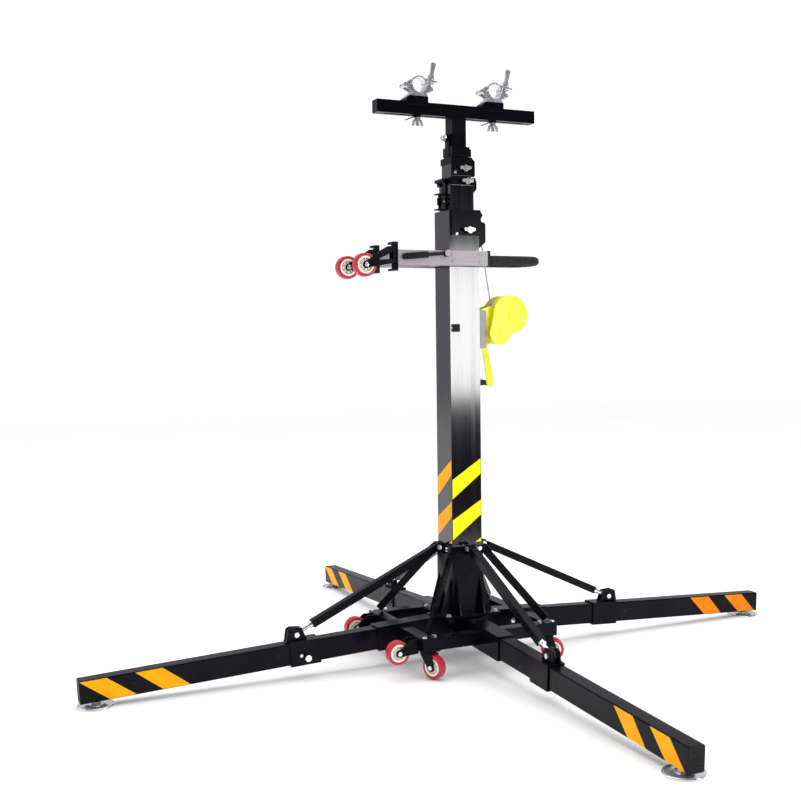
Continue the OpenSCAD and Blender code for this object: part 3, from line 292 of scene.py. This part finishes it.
def red_polyurethane():
    """Translucent-looking crimson wheel tread, scuffed where it rolls."""
    paint = Paint("red_polyurethane", (0.45, 0.01, 0.03), 0.3)
    scuffs = paint.noise(180, detail=6)
    tone = paint.colours(scuffs, (0.35, (0.36, 0.006, 0.018)), (0.68, (0.55, 0.018, 0.045)))
    paint.drive("Base Color", tone).drive("Roughness", paint.spread(scuffs, 0.22, 0.5))
    paint.set("Subsurface Weight", 0.15).set("Subsurface Scale", 0.004)
    return paint.bump(scuffs, 0.12, 0.0004)


def cream_nylon():
    """Moulded off-white nylon of the wheel centres."""
    paint = Paint("cream_nylon", (0.86, 0.82, 0.74), 0.4)
    mottle = paint.noise(90, detail=4)
    tone = paint.colours(mottle, (0.3, (0.78, 0.73, 0.64)), (0.7, (0.90, 0.87, 0.81)))
    paint.drive("Base Color", tone).drive("Roughness", paint.spread(mottle, 0.32, 0.5))
    return paint.bump(mottle, 0.08, 0.0003)


def black_foam():
    """Closed-cell foam with fine pores."""
    paint = Paint("black_foam", (0.012, 0.012, 0.013), 0.75, specular=0.3)
    pores = paint.node("TexVoronoi")
    pores.inputs["Scale"].default_value = 900
    place = paint.node("TexCoord")
    paint.link(place.outputs["Object"], pores.inputs["Vector"])
    tone = paint.colours(paint.noise(80), (0.3, (0.008, 0.008, 0.009)), (0.7, (0.022, 0.022, 0.024)))
    paint.drive("Base Color", tone)
    return paint.bump(pores.outputs["Distance"], 0.5, 0.0006)


def wire_rope():
    """Galvanised strands, darker between the wires."""
    paint = Paint("wire_rope", (0.85, 0.85, 0.86), 0.35, metallic=0.6)
    grease = paint.noise(220, detail=5)
    tone = paint.colours(grease, (0.3, (0.60, 0.60, 0.60)), (0.7, (0.90, 0.90, 0.90)))
    paint.drive("Base Color", tone).drive("Roughness", paint.spread(grease, 0.28, 0.55))
    return paint.bump(paint.noise(2500, detail=2), 0.3, 0.0003)


def hazard_tape(name, deep, bright):
    """Reflective tape: a fine bead texture over a slightly uneven colour."""
    paint = Paint(name, bright, 0.45, specular=0.1)
    tone = paint.colours(paint.noise(30, detail=4), (0.3, deep), (0.7, bright))
    beads = paint.node("TexVoronoi")
    beads.inputs["Scale"].default_value = 1400
    place = paint.node("TexCoord")
    paint.link(place.outputs["Object"], beads.inputs["Vector"])
    paint.drive("Base Color", tone)
    return paint.bump(beads.outputs["Distance"], 0.15, 0.0002)


def black_plastic():
    """Moulded end plugs."""
    paint = Paint("black_plastic", (0.006, 0.006, 0.007), 0.5, specular=0.15)
    grain = paint.noise(600, detail=3)
    tone = paint.colours(paint.noise(25), (0.3, (0.004, 0.004, 0.005)), (0.7, (0.009, 0.009, 0.010)))
    paint.drive("Base Color", tone).drive("Roughness", paint.spread(grain, 0.4, 0.62))
    return paint.bump(grain, 0.15, 0.0003)


# ---- mesh helpers ------------------------------------------------------------------------------


def new_object(name, mesh):
    data = bpy.data.meshes.new(name)
    mesh.to_mesh(data)
    mesh.free()
    made = bpy.data.objects.new(name, data)
    bpy.context.scene.collection.objects.link(made)
    return made


def shade(made, paint):
    made.data.materials.clear()
    made.data.materials.append(paint.material)


def smooth_group():
    """Geometry nodes that shade smooth, but keep edges sharper than 35 degrees hard."""
    group = bpy.data.node_groups.new("smooth_by_angle", "GeometryNodeTree")
    group.interface.new_socket("Geometry", in_out="INPUT", socket_type="NodeSocketGeometry")
    group.interface.new_socket("Geometry", in_out="OUTPUT", socket_type="NodeSocketGeometry")
    start = group.nodes.new("NodeGroupInput")
    end = group.nodes.new("NodeGroupOutput")
    drop = group.nodes.new("GeometryNodeRemoveAttribute")
    drop.inputs["Name"].default_value = "custom_normal"
    faces = group.nodes.new("GeometryNodeSetShadeSmooth")
    edges = group.nodes.new("GeometryNodeSetShadeSmooth")
    edges.domain = "EDGE"
    edges.inputs["Shade Smooth"].default_value = False
    angle = group.nodes.new("GeometryNodeInputMeshEdgeAngle")
    sharp = group.nodes.new("FunctionNodeCompare")
    sharp.operation = "GREATER_THAN"
    sharp.inputs[1].default_value = math.radians(35)
    group.links.new(start.outputs[0], drop.inputs[0])
    group.links.new(drop.outputs[0], faces.inputs[0])
    group.links.new(faces.outputs[0], edges.inputs[0])
    group.links.new(angle.outputs["Unsigned Angle"], sharp.inputs[0])
    group.links.new(sharp.outputs["Result"], edges.inputs["Selection"])
    group.links.new(edges.outputs[0], end.inputs[0])
    return group


SMOOTH = smooth_group()


def soften(made, width, segments=3):
    """Rounds an object's sharp edges by width and smooths the rest, without touching its mesh."""
    weld = made.modifiers.new("weld", "WELD")
    weld.merge_threshold = 1e-5
    flat = made.modifiers.new("flat", "DECIMATE")
    flat.decimate_type = "DISSOLVE"
    flat.angle_limit = math.radians(0.6)
    if width:
        bevel = made.modifiers.new("bevel", "BEVEL")
        bevel.width = width
        bevel.segments = segments
        bevel.limit_method = "ANGLE"
        bevel.angle_limit = math.radians(38)
        bevel.miter_outer = "MITER_ARC"
    smooth = made.modifiers.new("smooth", "NODES")
    smooth.node_group = SMOOTH
    normals = made.modifiers.new("normals", "WEIGHTED_NORMAL")
    normals.keep_sharp = True


def add_piece(name, mesh, body, paint, bevel=0.0):
    """Turns a bmesh into a finished piece that rides on a body."""
    bmesh.ops.remove_doubles(mesh, verts=mesh.verts, dist=1e-6)
    bmesh.ops.recalc_face_normals(mesh, faces=mesh.faces)
    made = new_object(name, mesh)
    shade(made, paint)
    soften(made, bevel)
    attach(made, body)
    return made


def axes_across(axis):
    """Two unit vectors square to axis and to each other."""
    axis = Vector(axis).normalized()
    side = axis.cross(Z if abs(axis.z) < 0.9 else X).normalized()
    return side, axis.cross(side).normalized()


def lathe(mesh, profile, centre, axis, steps=64):
    """Turns a closed outline of (radius, height) points about an axis through centre."""
    axis = Vector(axis).normalized()
    side, up = axes_across(axis)
    rings = []
    for step in range(steps):
        angle = 2 * math.pi * step / steps
        outward = side * math.cos(angle) + up * math.sin(angle)
        rings.append([mesh.verts.new(Vector(centre) + outward * r + axis * h) for r, h in profile])
    for step, ring in enumerate(rings):
        following = rings[(step + 1) % steps]
        for i in range(len(profile)):
            j = (i + 1) % len(profile)
            mesh.faces.new((ring[i], ring[j], following[j], following[i]))
    bmesh.ops.remove_doubles(mesh, verts=mesh.verts, dist=1e-7)
    return mesh


def extrude_outline(mesh, points, thickness):
    """Solid plate from an outline of 3-D points, thickened by the vector thickness."""
    low = [mesh.verts.new(point) for point in points]
    high = [mesh.verts.new(Vector(point) + thickness) for point in points]
    mesh.faces.new(low[::-1])
    mesh.faces.new(high)
    for i in range(len(points)):
        j = (i + 1) % len(points)
        mesh.faces.new((low[i], low[j], high[j], high[i]))
    return mesh


def hexagon(mesh, centre, axis, radius, height):
    """Bolt head: a hexagonal prism with a chamfered crown."""
    crown = [(0.0, 0.0), (radius, 0.0), (radius, height * 0.75), (radius * 0.84, height), (0.0, height)]
    return lathe(mesh, crown, centre, axis, steps=6)


def rounded_section(width, height, radius, steps=5):
    """Points of a rounded rectangle, centred, going round once."""
    points = []
    for quarter, (sx, sy) in enumerate(((1, 1), (-1, 1), (-1, -1), (1, -1))):
        cx, cy = sx * (width / 2 - radius), sy * (height / 2 - radius)
        for step in range(steps + 1):
            angle = math.pi / 2 * (quarter + step / steps)
            points.append((cx + radius * math.cos(angle), cy + radius * math.sin(angle)))
    return points


def sweep(mesh, section, path, frames, closed_ends=True):
    """Joins copies of a 2-D section along a path; frames gives (side, up) at each point."""
    rings = []
    for point, (side, up) in zip(path, frames):
        rings.append([mesh.verts.new(Vector(point) + side * a + up * b) for a, b in section])
    count = len(section)
    for ring, following in zip(rings, rings[1:]):
        for i in range(count):
            j = (i + 1) % count
            mesh.faces.new((ring[i], ring[j], following[j], following[i]))
    if closed_ends:
        mesh.faces.new(rings[0][::-1])
        mesh.faces.new(rings[-1])
    return mesh


# ---- CAD nodes ---------------------------------------------------------------------------------

black = powder_black()
tube_black = mast_black()
zinc = zinc_plate()
steel = polished_steel()
aluminium = brushed_aluminium()
yellow = yellow_enamel()
red = red_polyurethane()
cream = cream_nylon()
foam = black_foam()
rope = wire_rope()
plastic = black_plastic()
tape_lemon = hazard_tape("tape_lemon", (0.80, 0.74, 0.004), (0.90, 0.86, 0.006))
# tape_amber colours the legs' bands; on the mast's side faces it stands for the lemon tape in painted shade.
tape_amber = hazard_tape("tape_amber", (0.80, 0.32, 0.001), (0.90, 0.40, 0.002))
# A darker copy of the amber tape for the right leg: painted shade of the same tape.
tape_amber_painted_shade = hazard_tape("tape_amber_painted_shade", (0.64, 0.16, 0.001), (0.74, 0.22, 0.002))

SLOT_PAINT = {
    "black_paint": black, "zinc": zinc, "aluminium": aluminium, "red_wheel": red,
    "yellow_paint": yellow, "foam": foam, "cable": rope,
}
NODE_PAINT = {
    "mast_tube_1": tube_black, "mast_tube_2": tube_black, "mast_tube_3": tube_black,
    "strut_hardware": steel, "lock_plunger_1": steel, "lock_plunger_2": steel, "lock_plunger_3": steel,
    "leg_plunger_left": steel, "leg_plunger_front": steel, "leg_plunger_right": steel,
    "leg_plunger_rear": steel, "stem_knob": steel, "head_pulley": steel, "winch_bracket": aluminium,
}
EDGE = 0.8 * MM
NODE_EDGE = {
    "mast_tube_1": 2.5 * MM, "mast_tube_2": 2.5 * MM, "mast_tube_3": 2.0 * MM, "mast_tube_4": 1.5 * MM,
    "t_bar": 2.0 * MM, "perimeter_frame": 1.2 * MM, "leg_sockets": 1.8 * MM, "leg_sleeves": 1.2 * MM,
    "leg_struts": 2.0 * MM, "mast_column": 1.2 * MM, "corner_braces": 1.5 * MM, "handle_frame": 2.0 * MM,
    "winch_housing": 1.6 * MM, "winch_crank": 1.2 * MM, "handle_lever": 2.2 * MM, "handle_grip": 3.0 * MM,
    "crank_grip": 2.0 * MM, "winch_drum": 0.4 * MM, "leg_plunger_left": 0.5 * MM,
}


def finish_cad_nodes():
    for part in RECORD["subparts"]:
        node = frame["nodes"][part["node"]]
        shade(node, NODE_PAINT.get(part["node"], SLOT_PAINT[part["material_slot"]]))
        soften(node, NODE_EDGE.get(part["node"], EDGE))


# ---- wheels ------------------------------------------------------------------------------------

WHEEL_R = 37.5 * MM
WHEEL_HALF = 14 * MM
HUB_R = 28 * MM


def arc(centre, radius, start, end, steps=6):
    """Points of an arc in a lathe outline, from start to end degrees."""
    points = []
    for step in range(steps + 1):
        angle = math.radians(start + (end - start) * step / steps)
        points.append((centre[0] + radius * math.cos(angle), centre[1] + radius * math.sin(angle)))
    return points


def dress_wheel(node, body, joint):
    """Red tread, moulded hub with ribs, and bearing rings in place of the plain wheel."""
    low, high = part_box(node)
    centre = (low + high) / 2
    axis = Vector(JOINTS[joint]["axis"])
    corner = 4 * MM
    rim = WHEEL_R - corner
    tread = [(HUB_R, -WHEEL_HALF), (rim, -WHEEL_HALF)]
    tread += arc((rim, -WHEEL_HALF + corner), corner, -90, 0)
    tread += arc((rim, WHEEL_HALF - corner), corner, 0, 90)
    tread += [(HUB_R, WHEEL_HALF)]
    made = add_piece(node + "_tread", lathe(bmesh.new(), tread, centre, axis, 80), body, red)
    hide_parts(node)

    web = 3 * MM
    half = WHEEL_HALF - 0.6 * MM
    hub = [
        (5 * MM, -half), (11 * MM, -half), (12 * MM, -web), (21.5 * MM, -web), (22.5 * MM, -half),
        (HUB_R, -half), (HUB_R, half), (22.5 * MM, half), (21.5 * MM, web), (12 * MM, web),
        (11 * MM, half), (5 * MM, half),
    ]
    mesh = lathe(bmesh.new(), hub, centre, axis, 80)
    side, up = axes_across(axis)
    for face in (-1, 1):
        for rib in range(8):
            angle = 2 * math.pi * rib / 8
            outward = side * math.cos(angle) + up * math.sin(angle)
            across = axis.cross(outward) * 1.1 * MM
            foot = centre + axis * face * web * 0.9
            corners = [foot + outward * r + across * s for r, s in
                       ((11.5 * MM, -1), (22 * MM, -1), (22 * MM, 1), (11.5 * MM, 1))]
            extrude_outline(mesh, corners, axis * face * (half - web) * 0.8)
    add_piece(node + "_hub", mesh, body, cream, 0.4 * MM)

    mesh = bmesh.new()
    for face in (-1, 1):
        ring = [(4.3 * MM, 0), (9.5 * MM, 0), (9.5 * MM, 1.0 * MM), (8.6 * MM, 1.4 * MM), (4.3 * MM, 1.4 * MM)]
        lathe(mesh, ring, centre + axis * face * (half - 0.4 * MM), axis * face, 40)
    add_piece(node + "_bearing", mesh, body, steel)


AXLE_REACH = 18.5 * MM


def dress_axle(node, body, joint):
    """Bright bolt heads over the ends of a wheel's axle."""
    low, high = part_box(node)
    centre = (low + high) / 2
    axis = Vector(JOINTS[joint]["axis"])
    mesh = bmesh.new()
    for face in (-1, 1):
        out = axis * face
        hexagon(mesh, centre + out * (AXLE_REACH + 0.1 * MM), out, 7.8 * MM, 5.6 * MM)
    add_piece(node + "_axle_bolts", mesh, body, steel, 0.6 * MM)


def dress_wheels():
    for corner in ("front_left", "front_right", "rear_left", "rear_right"):
        dress_wheel("castor_wheel_" + corner, "castor_wheel_" + corner, "castor_roll_" + corner)
        dress_axle("castor_wheel_" + corner, "castor_fork_" + corner, "castor_roll_" + corner)
    for end in ("front", "rear"):
        dress_wheel("side_wheel_" + end, "side_wheel_" + end, f"side_wheel_{end}_roll")
        dress_axle("side_wheel_" + end, "base", f"side_wheel_{end}_roll")
        dress_wheel("handle_wheel_" + end, "handle_wheel_" + end, f"handle_wheel_{end}_roll")
        dress_axle("handle_wheel_" + end, "handle", f"handle_wheel_{end}_roll")


# ---- legs --------------------------------------------------------------------------------------

LEG_W = 50 * MM
LEG_H = 70 * MM
LEG_TIP = 50 * MM
LEG_CORNER = 4.5 * MM
FOOT_R = 56 * MM
TAPE_LIFT = 0.3 * MM
HOLE_R = 5.2 * MM

# Tape bands as (top start, top end, bottom start, bottom end), in mm from the mast axis
INWARD_BANDS = ((1182, 1260, 1098, 1176), (1016, 1098, 936, 1018))
OUTWARD_BANDS = ((945, 1030, 1012, 1090), (1105, 1186, 1172, 1250))


class LegLine:
    """The axis of one leg, worked out from its CAD box and its slide joint."""

    def __init__(self, side):
        self.body = "leg_" + side
        self.along = Vector(JOINTS[f"leg_{side}_slide"]["axis"])
        flat = Vector((self.along.x, self.along.y, 0))
        self.out = flat.normalized()
        self.across = Z.cross(self.out)
        self.up = self.across.cross(self.along) * -1
        if self.up.z < 0:
            self.up.negate()
        low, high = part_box(self.body)
        reach = [abs(corner.dot(self.out)) for corner in (low, high)]
        self.slope = -self.along.z
        self.root = min(reach) + LEG_H / 2 * self.slope
        self.foot = max(reach) - FOOT_R
        self.root_z = high.z - LEG_H / 2 * flat.length

    def point(self, radius, side=0.0, height=0.0):
        """Point on the leg at a radius from the mast, moved sideways and up in the leg's own axes."""
        travel = (radius - self.root) / self.along.dot(self.out)
        start = self.out * self.root + Z * self.root_z
        return start + self.along * travel + self.across * side + self.up * height


def dress_leg(side, bands, tape=tape_amber):
    leg = LegLine(side)
    tip = leg.foot + LEG_TIP
    section = rounded_section(LEG_W, LEG_H, LEG_CORNER)
    frames = [(leg.across, leg.up)] * 2
    mesh = sweep(bmesh.new(), section, [leg.point(leg.root), leg.point(tip - 3 * MM)], frames)
    tube = add_piece(f"leg_{side}_tube", mesh, leg.body, black)
    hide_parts(leg.body)
    dress_leg_end(leg, side, tip)
    dress_foot(leg, side)
    dress_leg_holes(leg, side)
    mesh = bmesh.new()
    for face in (-1, 1):
        for band in bands:
            tape_on_leg(mesh, leg, face, [value * MM for value in band])
    add_piece(f"leg_{side}_tape", mesh, leg.body, tape)


def dress_leg_end(leg, side, tip):
    """Ribbed plastic plug in the open end of the tube."""
    mesh = bmesh.new()
    flange = rounded_section(LEG_W - 0.6 * MM, LEG_H - 0.6 * MM, LEG_CORNER)
    frames = [(leg.across, leg.up)] * 2
    sweep(mesh, flange, [leg.point(tip - 2.8 * MM), leg.point(tip)], frames)
    for height in (-18, 0, 18):
        rib = rounded_section(LEG_W - 16 * MM, 5 * MM, 2 * MM)
        path = [leg.point(tip - 1 * MM, 0, height * MM), leg.point(tip + 0.8 * MM, 0, height * MM)]
        sweep(mesh, rib, path, frames)
    add_piece(f"leg_{side}_plug", mesh, leg.body, plastic, 0.6 * MM)


def dress_foot(leg, side):
    """Spun steel foot pad with a rolled rim, its stud and its lock nut."""
    centre = leg.out * leg.foot
    rim = FOOT_R
    dish = [(0, 3.4 * MM), (rim - 20 * MM, 0.6 * MM), (rim - 17 * MM, 0)]
    dish += [(rim - 4 * MM, 0)]
    dish += arc((rim - 3.4 * MM, 3.4 * MM), 3.4 * MM, -80, 110, 8)
    dish += [(rim - 9 * MM, 3.6 * MM), (rim - 17 * MM, 3.4 * MM), (30 * MM, 6.2 * MM)]
    dish += arc((24 * MM, 4.2 * MM), 3.6 * MM, 40, 130, 5)
    dish += [(18 * MM, 6.4 * MM), (0, 7.4 * MM)]
    pad = add_piece(f"leg_{side}_foot", lathe(bmesh.new(), dish, centre, Z, 96), leg.body, steel)
    mesh = hexagon(bmesh.new(), centre + Z * 7 * MM, Z, 15 * MM, 8.5 * MM)
    stud = [(0, 6 * MM), (8 * MM, 6 * MM), (8 * MM, 21 * MM), (0, 21 * MM)]
    lathe(mesh, stud, centre, Z, 32)
    add_piece(f"leg_{side}_stud", mesh, leg.body, zinc, 0.5 * MM)
    return pad


def dress_leg_holes(leg, side):
    """The two lock holes right through the tube, drawn as rimmed sockets closed by black discs; the discs are
    painted shade for the dark inside of the holes.
    """
    mesh = bmesh.new()
    rim = [(HOLE_R - 2 * MM, -0.2 * MM), (HOLE_R, -0.2 * MM), (HOLE_R, 0.25 * MM), (HOLE_R - 0.8 * MM, 0.35 * MM),
           (HOLE_R - 1.2 * MM, 0.05 * MM), (HOLE_R - 2 * MM, 0.05 * MM)]
    # cap is a black disc in each hole: painted shade for the hole's dark inside.
    cap = [(0, -0.2 * MM), (HOLE_R - 1.8 * MM, -0.2 * MM), (HOLE_R - 1.8 * MM, 0.06 * MM), (0, 0.06 * MM)]
    for radius in (654 * MM, 1103 * MM):
        for face in (-1, 1):
            spot = leg.point(radius, face * LEG_W / 2, 2 * MM)
            lathe(mesh, rim, spot, leg.across * face, 28)
            lathe(mesh, cap, spot, leg.across * face, 28)
    add_piece(f"leg_{side}_holes", mesh, leg.body, plastic)


def tape_on_leg(mesh, leg, face, band):
    top = LEG_H / 2 - LEG_CORNER * 0.55
    corners = ((band[0], top), (band[1], top), (band[3], -top), (band[2], -top))
    side = face * LEG_W / 2
    outline = [leg.point(radius, side, height) for radius, height in corners]
    extrude_outline(mesh, outline, leg.across * face * TAPE_LIFT)


def dress_legs():
    dress_leg("left", INWARD_BANDS)
    dress_leg("front", OUTWARD_BANDS)
    # The right leg's tape is the amber tape in painted shade.
    dress_leg("right", OUTWARD_BANDS, tape_amber_painted_shade)
    dress_leg("rear", INWARD_BANDS)


# ---- mast --------------------------------------------------------------------------------------

# Bands as (height at the face's trailing edge, height at its leading edge), lower and upper, in mm
MAST_BANDS = ((541, 605, 672, 621), (404, 470, 533, 483))
MAST_EDGE = 2.2 * MM


def dress_mast_tape():
    """Bands that climb round the mast, with a cut-off corner of the next one above the collar. The side faces' bands
    are amber, a painted shade of the lemon tape on the front and rear faces.
    """
    low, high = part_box("mast_tube_1")
    half = high.x
    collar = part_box("mast_column")[1].z
    reach = half - MAST_EDGE
    lemon, amber = bmesh.new(), bmesh.new()
    for turn in range(4):
        spin = Matrix.Rotation(math.pi / 2 * turn, 3, "Z")
        # Odd turns are the side faces: their amber tape is painted shade, the same lemon tape drawn darker.
        mesh = lemon if turn % 2 == 0 else amber
        for low_start, high_start, high_end, low_end in MAST_BANDS:
            shape = ((-reach, low_start), (reach, low_end), (reach, high_end), (-reach, high_start))
            outline = [spin @ Vector((x, -half, z * MM)) for x, z in shape]
            extrude_outline(mesh, outline, spin @ Vector((0, -TAPE_LIFT, 0)))
        top = collar + 14 * MM
        shape = ((30 * MM, collar + 0.5 * MM), (reach, collar + 0.5 * MM), (reach, top))
        outline = [spin @ Vector((x, -half, z)) for x, z in shape]
        extrude_outline(mesh, outline, spin @ Vector((0, -TAPE_LIFT, 0)))
    add_piece("mast_tape_front_rear", lemon, "base", tape_lemon)
    add_piece("mast_tape_sides_painted_shade", amber, "base", tape_amber)


def dress_rating_plate():
    """Blank plate with two rivets on the front of the mast."""
    face = -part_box("mast_tube_1")[1].x
    centre = Vector((-35 * MM, face, 1109 * MM))
    plate = rounded_section(32 * MM, 26 * MM, 3 * MM)
    mesh = sweep(bmesh.new(), plate, [centre, centre - Y * 0.8 * MM], [(X, Z)] * 2)
    add_piece("rating_plate", mesh, "base", plastic, 0.2 * MM)
    mesh = bmesh.new()
    dome = [(0, 0), (1.6 * MM, 0), (1.4 * MM, 0.6 * MM), (0.8 * MM, 1.0 * MM), (0, 1.1 * MM)]
    for shift in (-12.5 * MM, 12.5 * MM):
        lathe(mesh, dome, centre + X * shift - Y * 0.8 * MM, -Y, 20)
    add_piece("rating_plate_rivets", mesh, "base", steel)


def dress_head_bolts():
    """The few bright screws that show beside the plungers and on the left bracket."""
    spots = {
        "base": [((-31, -60.3, 1418), -Y, 5.5)],
        "section_2": [((-48.2, -8, 1529), -X, 4.5)],
        "section_3": [((-24, -40.4, 1621), -Y, 5.0)],
    }
    for body, screws in spots.items():
        mesh = bmesh.new()
        for centre, axis, radius in screws:
            hexagon(mesh, Vector(centre) * MM, axis, radius * MM, radius * 0.7 * MM)
        add_piece(f"head_screws_{body}", mesh, body, steel, 0.3 * MM)


# ---- base details ------------------------------------------------------------------------------


def dress_base_bolts():
    """Bolts with washers on the column plate."""
    mesh = bmesh.new()
    plate_top = 158 * MM
    for x in (-86 * MM, 86 * MM):
        for y in (-86 * MM, 86 * MM):
            spot = Vector((x, y, plate_top))
            lathe(mesh, [(0, 0), (10 * MM, 0), (10 * MM, 1.4 * MM), (0, 1.4 * MM)], spot, Z, 32)
            hexagon(mesh, spot + Z * 1.4 * MM, Z, 7.5 * MM, 5.5 * MM)
    add_piece("base_plate_bolts", mesh, "base", zinc, 0.4 * MM)


def weld_bead(mesh, start, end, radius=2.2 * MM, pitch=4.0 * MM):
    """A line of overlapping solidified ripples."""
    start, end = Vector(start), Vector(end)
    length = (end - start).length
    axis = (end - start).normalized()
    side, up = axes_across(axis)
    steps = max(4, int(length / (pitch / 3)))
    section = [(math.cos(2 * math.pi * i / 8), math.sin(2 * math.pi * i / 8)) for i in range(8)]
    rings = []
    for step in range(steps + 1):
        swell = radius * (0.86 + 0.14 * math.cos(2 * math.pi * step / 3))
        if step in (0, steps):
            swell = radius * 0.4
        point = start + axis * length * step / steps
        rings.append([mesh.verts.new(point + side * a * swell + up * b * swell) for a, b in section])
    for ring, following in zip(rings, rings[1:]):
        for i in range(8):
            j = (i + 1) % 8
            mesh.faces.new((ring[i], ring[j], following[j], following[i]))
    mesh.faces.new(rings[0][::-1])
    mesh.faces.new(rings[-1])


def dress_welds():
    mesh = bmesh.new()
    half = 58 * MM
    foot = 158 * MM
    for sign in (-1, 1):
        weld_bead(mesh, (-half, sign * half, foot), (half, sign * half, foot))
        weld_bead(mesh, (sign * half, -half, foot), (sign * half, half, foot))
    under_collar = 362 * MM
    for sign in (-1, 1):
        weld_bead(mesh, (-half, sign * half, under_collar), (half, sign * half, under_collar))
        weld_bead(mesh, (sign * half, -half, under_collar), (sign * half, half, under_collar))
    socket = 29.8 * MM
    for sx in (-1, 1):
        for sy in (-1, 1):
            for inner, outer in ((183 * MM, "y"), (205 * MM, "x")):
                if outer == "y":
                    weld_bead(mesh, (sx * socket, sy * inner, 94 * MM), (sx * socket, sy * inner, 130 * MM))
                else:
                    weld_bead(mesh, (sx * inner, sy * socket, 94 * MM), (sx * inner, sy * socket, 130 * MM))
    add_piece("weld_beads", mesh, "base", black)


# ---- winch -------------------------------------------------------------------------------------

ROPE_R = 2.5 * MM
DRUM_WRAP_R = 42.7 * MM


def rope_section(radius, strands=6, per_strand=3):
    """Outline of a wire rope: a ring of round strands."""
    points = []
    for i in range(strands * per_strand):
        angle = 2 * math.pi * i / (strands * per_strand)
        swell = radius * (0.86 + 0.14 * abs(math.cos(strands * angle / 2)))
        points.append((swell * math.cos(angle), swell * math.sin(angle)))
    return points


def twisted_frames(path, turn_length=38 * MM):
    """Side and up vectors along a path in the XZ plane, turning as the strands of a rope do."""
    frames = []
    gone = 0.0
    for i, point in enumerate(path):
        before = path[max(0, i - 1)]
        after = path[min(len(path) - 1, i + 1)]
        gone += (point - before).length
        axis = (after - before).normalized()
        side, up = axis.cross(Y).normalized(), Y.copy()
        twist = Quaternion(axis, 2 * math.pi * gone / turn_length)
        frames.append((twist @ side, twist @ up))
    return frames


def straight(start, end, step=3.2 * MM):
    count = max(2, int((end - start).length / step))
    return [start.lerp(end, i / count) for i in range(count)]


def dress_cable():
    """Stranded cable from the drum, over the head pulley and down inside the mast."""
    pulley = Vector(JOINTS["head_pulley_spin"]["pos_m"])
    drum = Vector(JOINTS["winch_drum_spin"]["pos_m"])
    groove = 20 * MM
    gap = math.hypot(drum.x - pulley.x, drum.z - pulley.z)
    lean = math.atan2(drum.x - pulley.x, pulley.z - drum.z) - math.asin((groove + DRUM_WRAP_R) / gap)
    outward = Vector((math.cos(lean), 0, math.sin(lean)))
    path = straight(drum - outward * DRUM_WRAP_R, pulley + outward * groove)
    bend = 24
    for step in range(bend + 1):
        angle = lean + (math.pi - lean) * step / bend
        path.append(pulley + Vector((math.cos(angle), 0, math.sin(angle))) * groove)
    path += straight(path[-1] - Z * 3 * MM, Vector((pulley.x - groove, 0, 240 * MM)), 12 * MM)
    mesh = sweep(bmesh.new(), rope_section(ROPE_R), path, twisted_frames(path))
    made = add_piece("hoist_cable_strands", mesh, "base", rope)
    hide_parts("hoist_cable")


def dress_drum_wraps():
    """The cable wound side by side on the drum."""
    drum = Vector(JOINTS["winch_drum_spin"]["pos_m"])
    pitch = 2 * ROPE_R + 0.15 * MM
    turns = 7
    per_turn = 40
    path = []
    for step in range(turns * per_turn + 1):
        angle = 2 * math.pi * step / per_turn
        along = (step / per_turn - turns / 2) * pitch
        path.append(drum + Vector((math.cos(angle) * DRUM_WRAP_R, along, math.sin(angle) * DRUM_WRAP_R)))
    frames = []
    for point in path:
        out = Vector((point.x - drum.x, 0, point.z - drum.z)).normalized()
        frames.append((out, Y))
    section = [(ROPE_R * math.cos(2 * math.pi * i / 10), ROPE_R * math.sin(2 * math.pi * i / 10)) for i in range(10)]
    mesh = sweep(bmesh.new(), section, path, frames)
    add_piece("winch_drum_wraps", mesh, "winch_drum", rope)


def dress_winch_cover():
    """Painted screws round the rim of the gear cover."""
    drum = Vector(JOINTS["winch_drum_spin"]["pos_m"])
    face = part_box("winch_housing")[0].y + 3 * MM
    mesh = bmesh.new()
    for angle in (20, 75, 130, 185, -35):
        turn = math.radians(angle)
        out = Vector((math.cos(turn), 0, math.sin(turn))) * 57 * MM
        hexagon(mesh, Vector((drum.x, face, drum.z)) + out, -Y, 4.0 * MM, 2.2 * MM)
    add_piece("winch_cover_screws", mesh, "base", yellow, 0.3 * MM)


# ---- handle ------------------------------------------------------------------------------------


def dress_handle_screws():
    """Screws that hold the end plates to the handle bars."""
    low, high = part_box("handle_frame")
    mesh = bmesh.new()
    for y in (-75.5 * MM, 75.5 * MM):
        for z in (1324 * MM, 1348 * MM):
            for x in (-60 * MM, 40 * MM):
                outer = y + math.copysign(12.5 * MM, y)
                hexagon(mesh, Vector((x, outer, z)), Y * math.copysign(1, y), 4.0 * MM, 2.6 * MM)
    add_piece("handle_bar_screws", mesh, "handle", aluminium, 0.3 * MM)
    mesh = bmesh.new()
    pivot = Vector(JOINTS["handle_lever_turn"]["pos_m"])
    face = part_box("handle_lever")[0].y
    disc = [(0, 0), (11 * MM, 0), (11 * MM, 1.2 * MM), (9.5 * MM, 2 * MM), (0, 2 * MM)]
    lathe(mesh, disc, Vector((pivot.x, face, pivot.z)), -Y, 40)
    add_piece("handle_lever_cap", mesh, "handle_lever", aluminium)


make_camera()
make_studio()
finish_cad_nodes()
dress_wheels()
dress_legs()
dress_mast_tape()
dress_rating_plate()
dress_head_bolts()
dress_base_bolts()
dress_welds()
dress_cable()
dress_drum_wraps()
dress_winch_cover()
dress_handle_screws()
